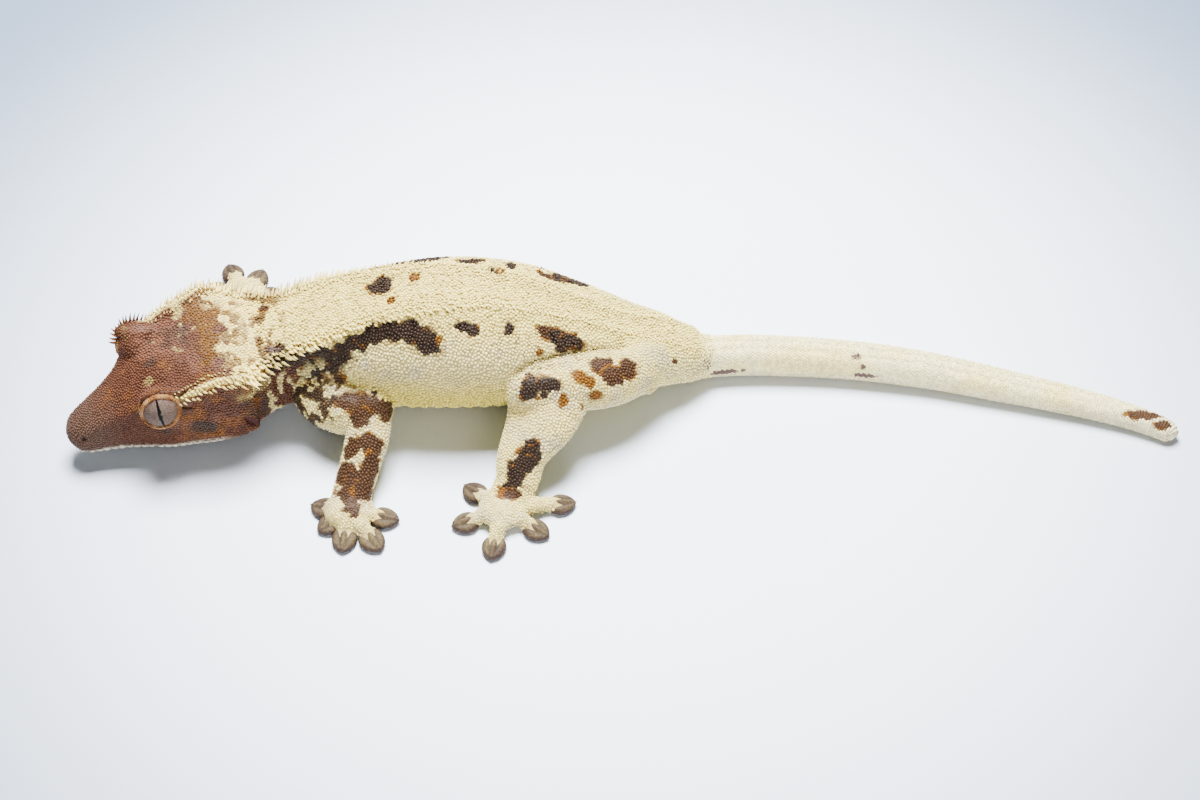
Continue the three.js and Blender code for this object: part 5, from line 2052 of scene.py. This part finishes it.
@dataclass
class Toes:
    """The leaf-shaped pads and the small claws of all twenty toes."""

    skin: Skin

    @staticmethod
    def pad(limb: Limb, tip: tuple[float, float]) -> tuple[np.ndarray, np.ndarray, np.ndarray]:
        """Works out a pad: a rounded root, its widest place at two fifths, and a pointed tip.

        Its height over the floor follows a half ellipse, less at the tip, with a ridge in the middle between
        two grooves.

        Args:
            limb: the limb whose foot it is on.
            tip: where the toe ends.

        Returns:
            Vertices, faces, and how deep in a groove each vertex is.
        """
        start, end = np.array(limb.palm), np.array(tip)
        way = unit(end - start)
        across = np.array([-way[1], way[0]])
        long = limb.pad * PAD_LENGTH
        s = np.linspace(0.004, 0.996, 34)[:, None]
        a = full_turn(40)[None, :]
        leaf = leaf_width(s)
        width = limb.pad * leaf
        height = (1.0 + 0.5 * (1.0 - s)) * np.sqrt(np.where(s < 0.42, leaf**2, leaf))
        taper = np.clip(np.sin(math.pi * s), 0.0, 1.0) * (np.sin(a) > 0.0)
        groove = bell(np.abs(np.cos(a)) - 0.34, 0.13) * taper
        ridge = 0.20 * bell(np.cos(a), 0.16) * taper - 0.32 * groove
        steep = np.sin(a)
        rise = np.where(steep > 0.0, np.abs(steep) ** 0.75 * height, -0.45 * np.abs(steep) * height)
        flat = end[None, None, :] - way * (long * (1.0 - s) - 0.1)[..., None]
        flat = flat + across * (width * np.cos(a))[..., None]
        up = 0.62 + rise + ridge * smooth(0.0, 0.4, height)
        up = up + 0.07 * noise(np.concatenate([flat, up[..., None]], axis=-1), 0.8, 61)
        points = np.concatenate([flat, np.maximum(up, 0.03)[..., None]], axis=-1)
        return *closed_grid(points), np.append(groove.ravel(), [0.0, 0.0])

    def make(self, pad_finish: bpy.types.Material, claw_finish: bpy.types.Material) -> None:
        """Makes the pads of all the feet as one piece, and the claws as another.

        Args:
            pad_finish: finish of the pads.
            claw_finish: finish of the claws.
        """
        pads, roots, directions = [], [], []
        for limb in LIMBS:
            for tip in limb.tips:
                pads.append(self.pad(limb, tip))
                way = unit(np.array(tip) - np.array(limb.palm))
                roots.append([*(np.array(tip) - way * 0.5), 1.15])
                directions.append([*way, 0.12])
        vertices, faces = join([pad[:2] for pad in pads])
        grooves = np.concatenate([pad[2] for pad in pads])
        mesh = make_mesh("toe_pads", vertices, faces)
        share = np.clip(0.5 + 0.8 * noise(vertices, 2.6, 62), 0.0, 1.0)
        colour = blend(np.tile(COLOURS.taupe, (len(vertices), 1)), COLOURS.slate, 0.3 * share)
        colour = blend(colour, COLOURS.crest, 0.10 * smooth(0.9, 1.6, vertices[:, 2]) * share)
        # Painted shade in the grooves beside each pad's middle ridge.
        add_colour(mesh, colour * (1.0 - 0.6 * grooves)[:, None])
        add_piece("toe_pads", mesh, pad_finish)
        count = len(roots)
        claws = Spines(
            np.array(roots), unit(np.array(directions)), np.full(count, 0.95), np.full(count, 0.24),
            np.full((count, 3), 0.2), np.tile([0.0, 0.0, -0.42], (count, 1)),
            np.tile([0.0, 0.0, 1.0], (count, 1)), sides=8,
        )
        add_piece("claws", claws.mesh("claws", np.zeros((count, 2))), claw_finish)


@dataclass
class Lips:
    """The row of larger smooth scales under the line of the mouth."""

    skin: Skin

    def make(self, finish: bpy.types.Material) -> None:
        """Makes the lower lip scales of both sides as one piece, each as wide as the row."""
        points, normals = self.skin.vertices, self.skin.normals
        back, left, up = HEAD.local(points)
        rows = []
        for side in Side:
            for row, (spacing, drop, size) in enumerate(((1.30, 0.75, 0.74), (1.00, 1.85, 0.52))):
                for place in np.arange(0.6 + 0.3 * row, MOUTH_CORNER - 1.5, spacing):
                    target = mouth_height(np.array(place)) - drop
                    miss = (back - place) ** 2 + (up - target) ** 2 + 100.0 * (side.value * left < 0.0)
                    number = int(np.argmin(miss))
                    rows.append((number, size * (1.0 - 0.25 * smooth(12.0, 26.0, np.array(place)))))
        numbers = np.array([row[0] for row in rows])
        sizes = np.array([row[1] for row in rows])
        roots, out = points[numbers], normals[numbers]
        darker = 0.4 * np.clip(noise(roots, 2.0, 64), 0.0, 1.0)
        colour = blend(np.tile(COLOURS.lip, (len(rows), 1)), COLOURS.plum, darker)
        _, places = self.skin.map.read(roots)
        tangent = np.tile(np.append(-HEAD.forward, 0.0) + 0.001, (len(rows), 1))
        beads = Beads(roots, out, sizes, sizes * 0.42, colour, places, np.ones(len(rows)), tangent, sides=10)
        add_piece("lip_scales", beads.mesh("lip_scales"), finish)


BODY_NODES = ("head", "lower_jaw", "neck", "torso", "tail_base", "tail_middle", "tail_tip")


def make_skin(finish: bpy.types.Material) -> Skin:
    """Makes the skin and puts it in place of every solid but the eyes.

    Args:
        finish: the skin's finish.

    Returns:
        The skin.
    """
    skin = Skin()
    skin.build()
    mesh = make_mesh("skin", skin.vertices, skin.faces)
    colour = skin_colour(skin.vertices, skin.regions)
    scaled = skin.regions != Region.TAIL
    # Off the tail the skin shows only between the raised scales, so it is darkened: painted shade in the
    # crevices.
    painted_crevice_shade = np.where(scaled[:, None], np.array([0.62, 0.58, 0.52]), 1.0)
    add_colour(mesh, colour * painted_crevice_shade)
    piece = add_piece("skin", mesh, finish)
    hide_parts(*BODY_NODES, *(name for limb in LIMBS for name in limb.nodes))
    return skin


# The studio.


@dataclass(frozen=True)
class SoftLight:
    """A square soft light that faces a point on the floor."""

    name: str
    place: tuple[float, float, float]
    width: float
    power: float
    colour: tuple[float, float, float] = (1.0, 1.0, 1.0)

    def make(self) -> None:
        """Adds the light."""
        light = bpy.data.lights.new(self.name, "AREA")
        light.size = self.width
        light.energy = self.power
        light.color = self.colour
        thing = bpy.data.objects.new(self.name, light)
        bpy.context.scene.collection.objects.link(thing)
        thing.location = self.place
        thing.rotation_euler = (-Vector(self.place)).to_track_quat("-Z", "Y").to_euler()


LIGHTS = (
    SoftLight("overhead", (-0.03, 0.20, 0.48), 0.24, 22.0, (1.0, 0.99, 0.97)),
    SoftLight("front", (0.10, -0.50, 0.70), 0.3, 0.6, (1.0, 0.97, 0.92)),
    SoftLight("low", (0.04, -0.60, 0.070), 0.12, 4.4, (1.0, 0.97, 0.90)),
)


def make_floor() -> None:
    """Makes the plain floor."""
    corners = np.array([(-1.0, -1.0, 0.0), (1.0, -1.0, 0.0), (1.0, 1.0, 0.0), (-1.0, 1.0, 0.0)])
    mesh = bpy.data.meshes.new("floor")
    mesh.from_pydata((corners * FLOOR_REACH).tolist(), [], [(0, 1, 2, 3)])
    floor = bpy.data.objects.new("floor", mesh)
    bpy.context.scene.collection.objects.link(floor)
    mesh.materials.append(FloorFinish().make())


def make_world() -> None:
    """Makes an even pale surrounding light."""
    world = bpy.data.worlds.new("room")
    bpy.context.scene.world = world
    world.use_nodes = True
    background = world.node_tree.nodes["Background"]
    background.inputs["Color"].default_value = (0.86, 0.92, 1.0, 1.0)
    background.inputs["Strength"].default_value = 0.12


def make_camera() -> None:
    """Places the camera in front of the animal's left side, looking down at the middle of the picture."""
    camera = bpy.data.cameras.new("camera")
    camera.lens = CAMERA_LENS
    camera.sensor_width = CAMERA_SENSOR
    camera.clip_start = 0.01
    thing = bpy.data.objects.new("camera", camera)
    bpy.context.scene.collection.objects.link(thing)
    slope = math.radians(CAMERA_ELEVATION)
    away = Vector((0.0, -math.cos(slope), math.sin(slope))) * CAMERA_DISTANCE
    turn = Matrix.Rotation(math.pi / 2 - slope, 4, "X")
    thing.matrix_world = Matrix.Translation(Vector((SHIFT * MM).tolist()) + away) @ turn
    bpy.context.scene.camera = thing


def main() -> None:
    """Makes every piece, the studio and the camera."""
    logging.basicConfig(level=logging.INFO, format="%(message)s")
    skin = make_skin(ScalyFinish("skin", roughness=0.5, mottle=0.3).make())
    scale_finish = ScalyFinish("scales", roughness=0.46, depth=0.00003).make()
    Scales(skin).make(scale_finish)
    Crests(skin).make(ScalyFinish("spines", roughness=0.5, depth=0.00002, mottle=0.12).make())
    Lashes(skin).make(ScalyFinish("lashes", roughness=0.5, depth=0.00002, mottle=0.12).make())
    iris = IrisFinish().make()
    lid = ScalyFinish("lids", roughness=0.42, pebble=0.0005, depth=0.00012, mottle=0.15).make()
    for side in Side:
        eye = Eye(side, skin)
        eye.ball(iris)
        eye.lid(lid)
    Toes(skin).make(PadFinish().make(), ClawFinish().make())
    Lips(skin).make(ScalyFinish("lips", roughness=0.4, depth=0.00002, mottle=0.12).make())
    make_floor()
    make_world()
    for light in LIGHTS:
        light.make()
    make_camera()


if __name__ == "__main__":
    main()
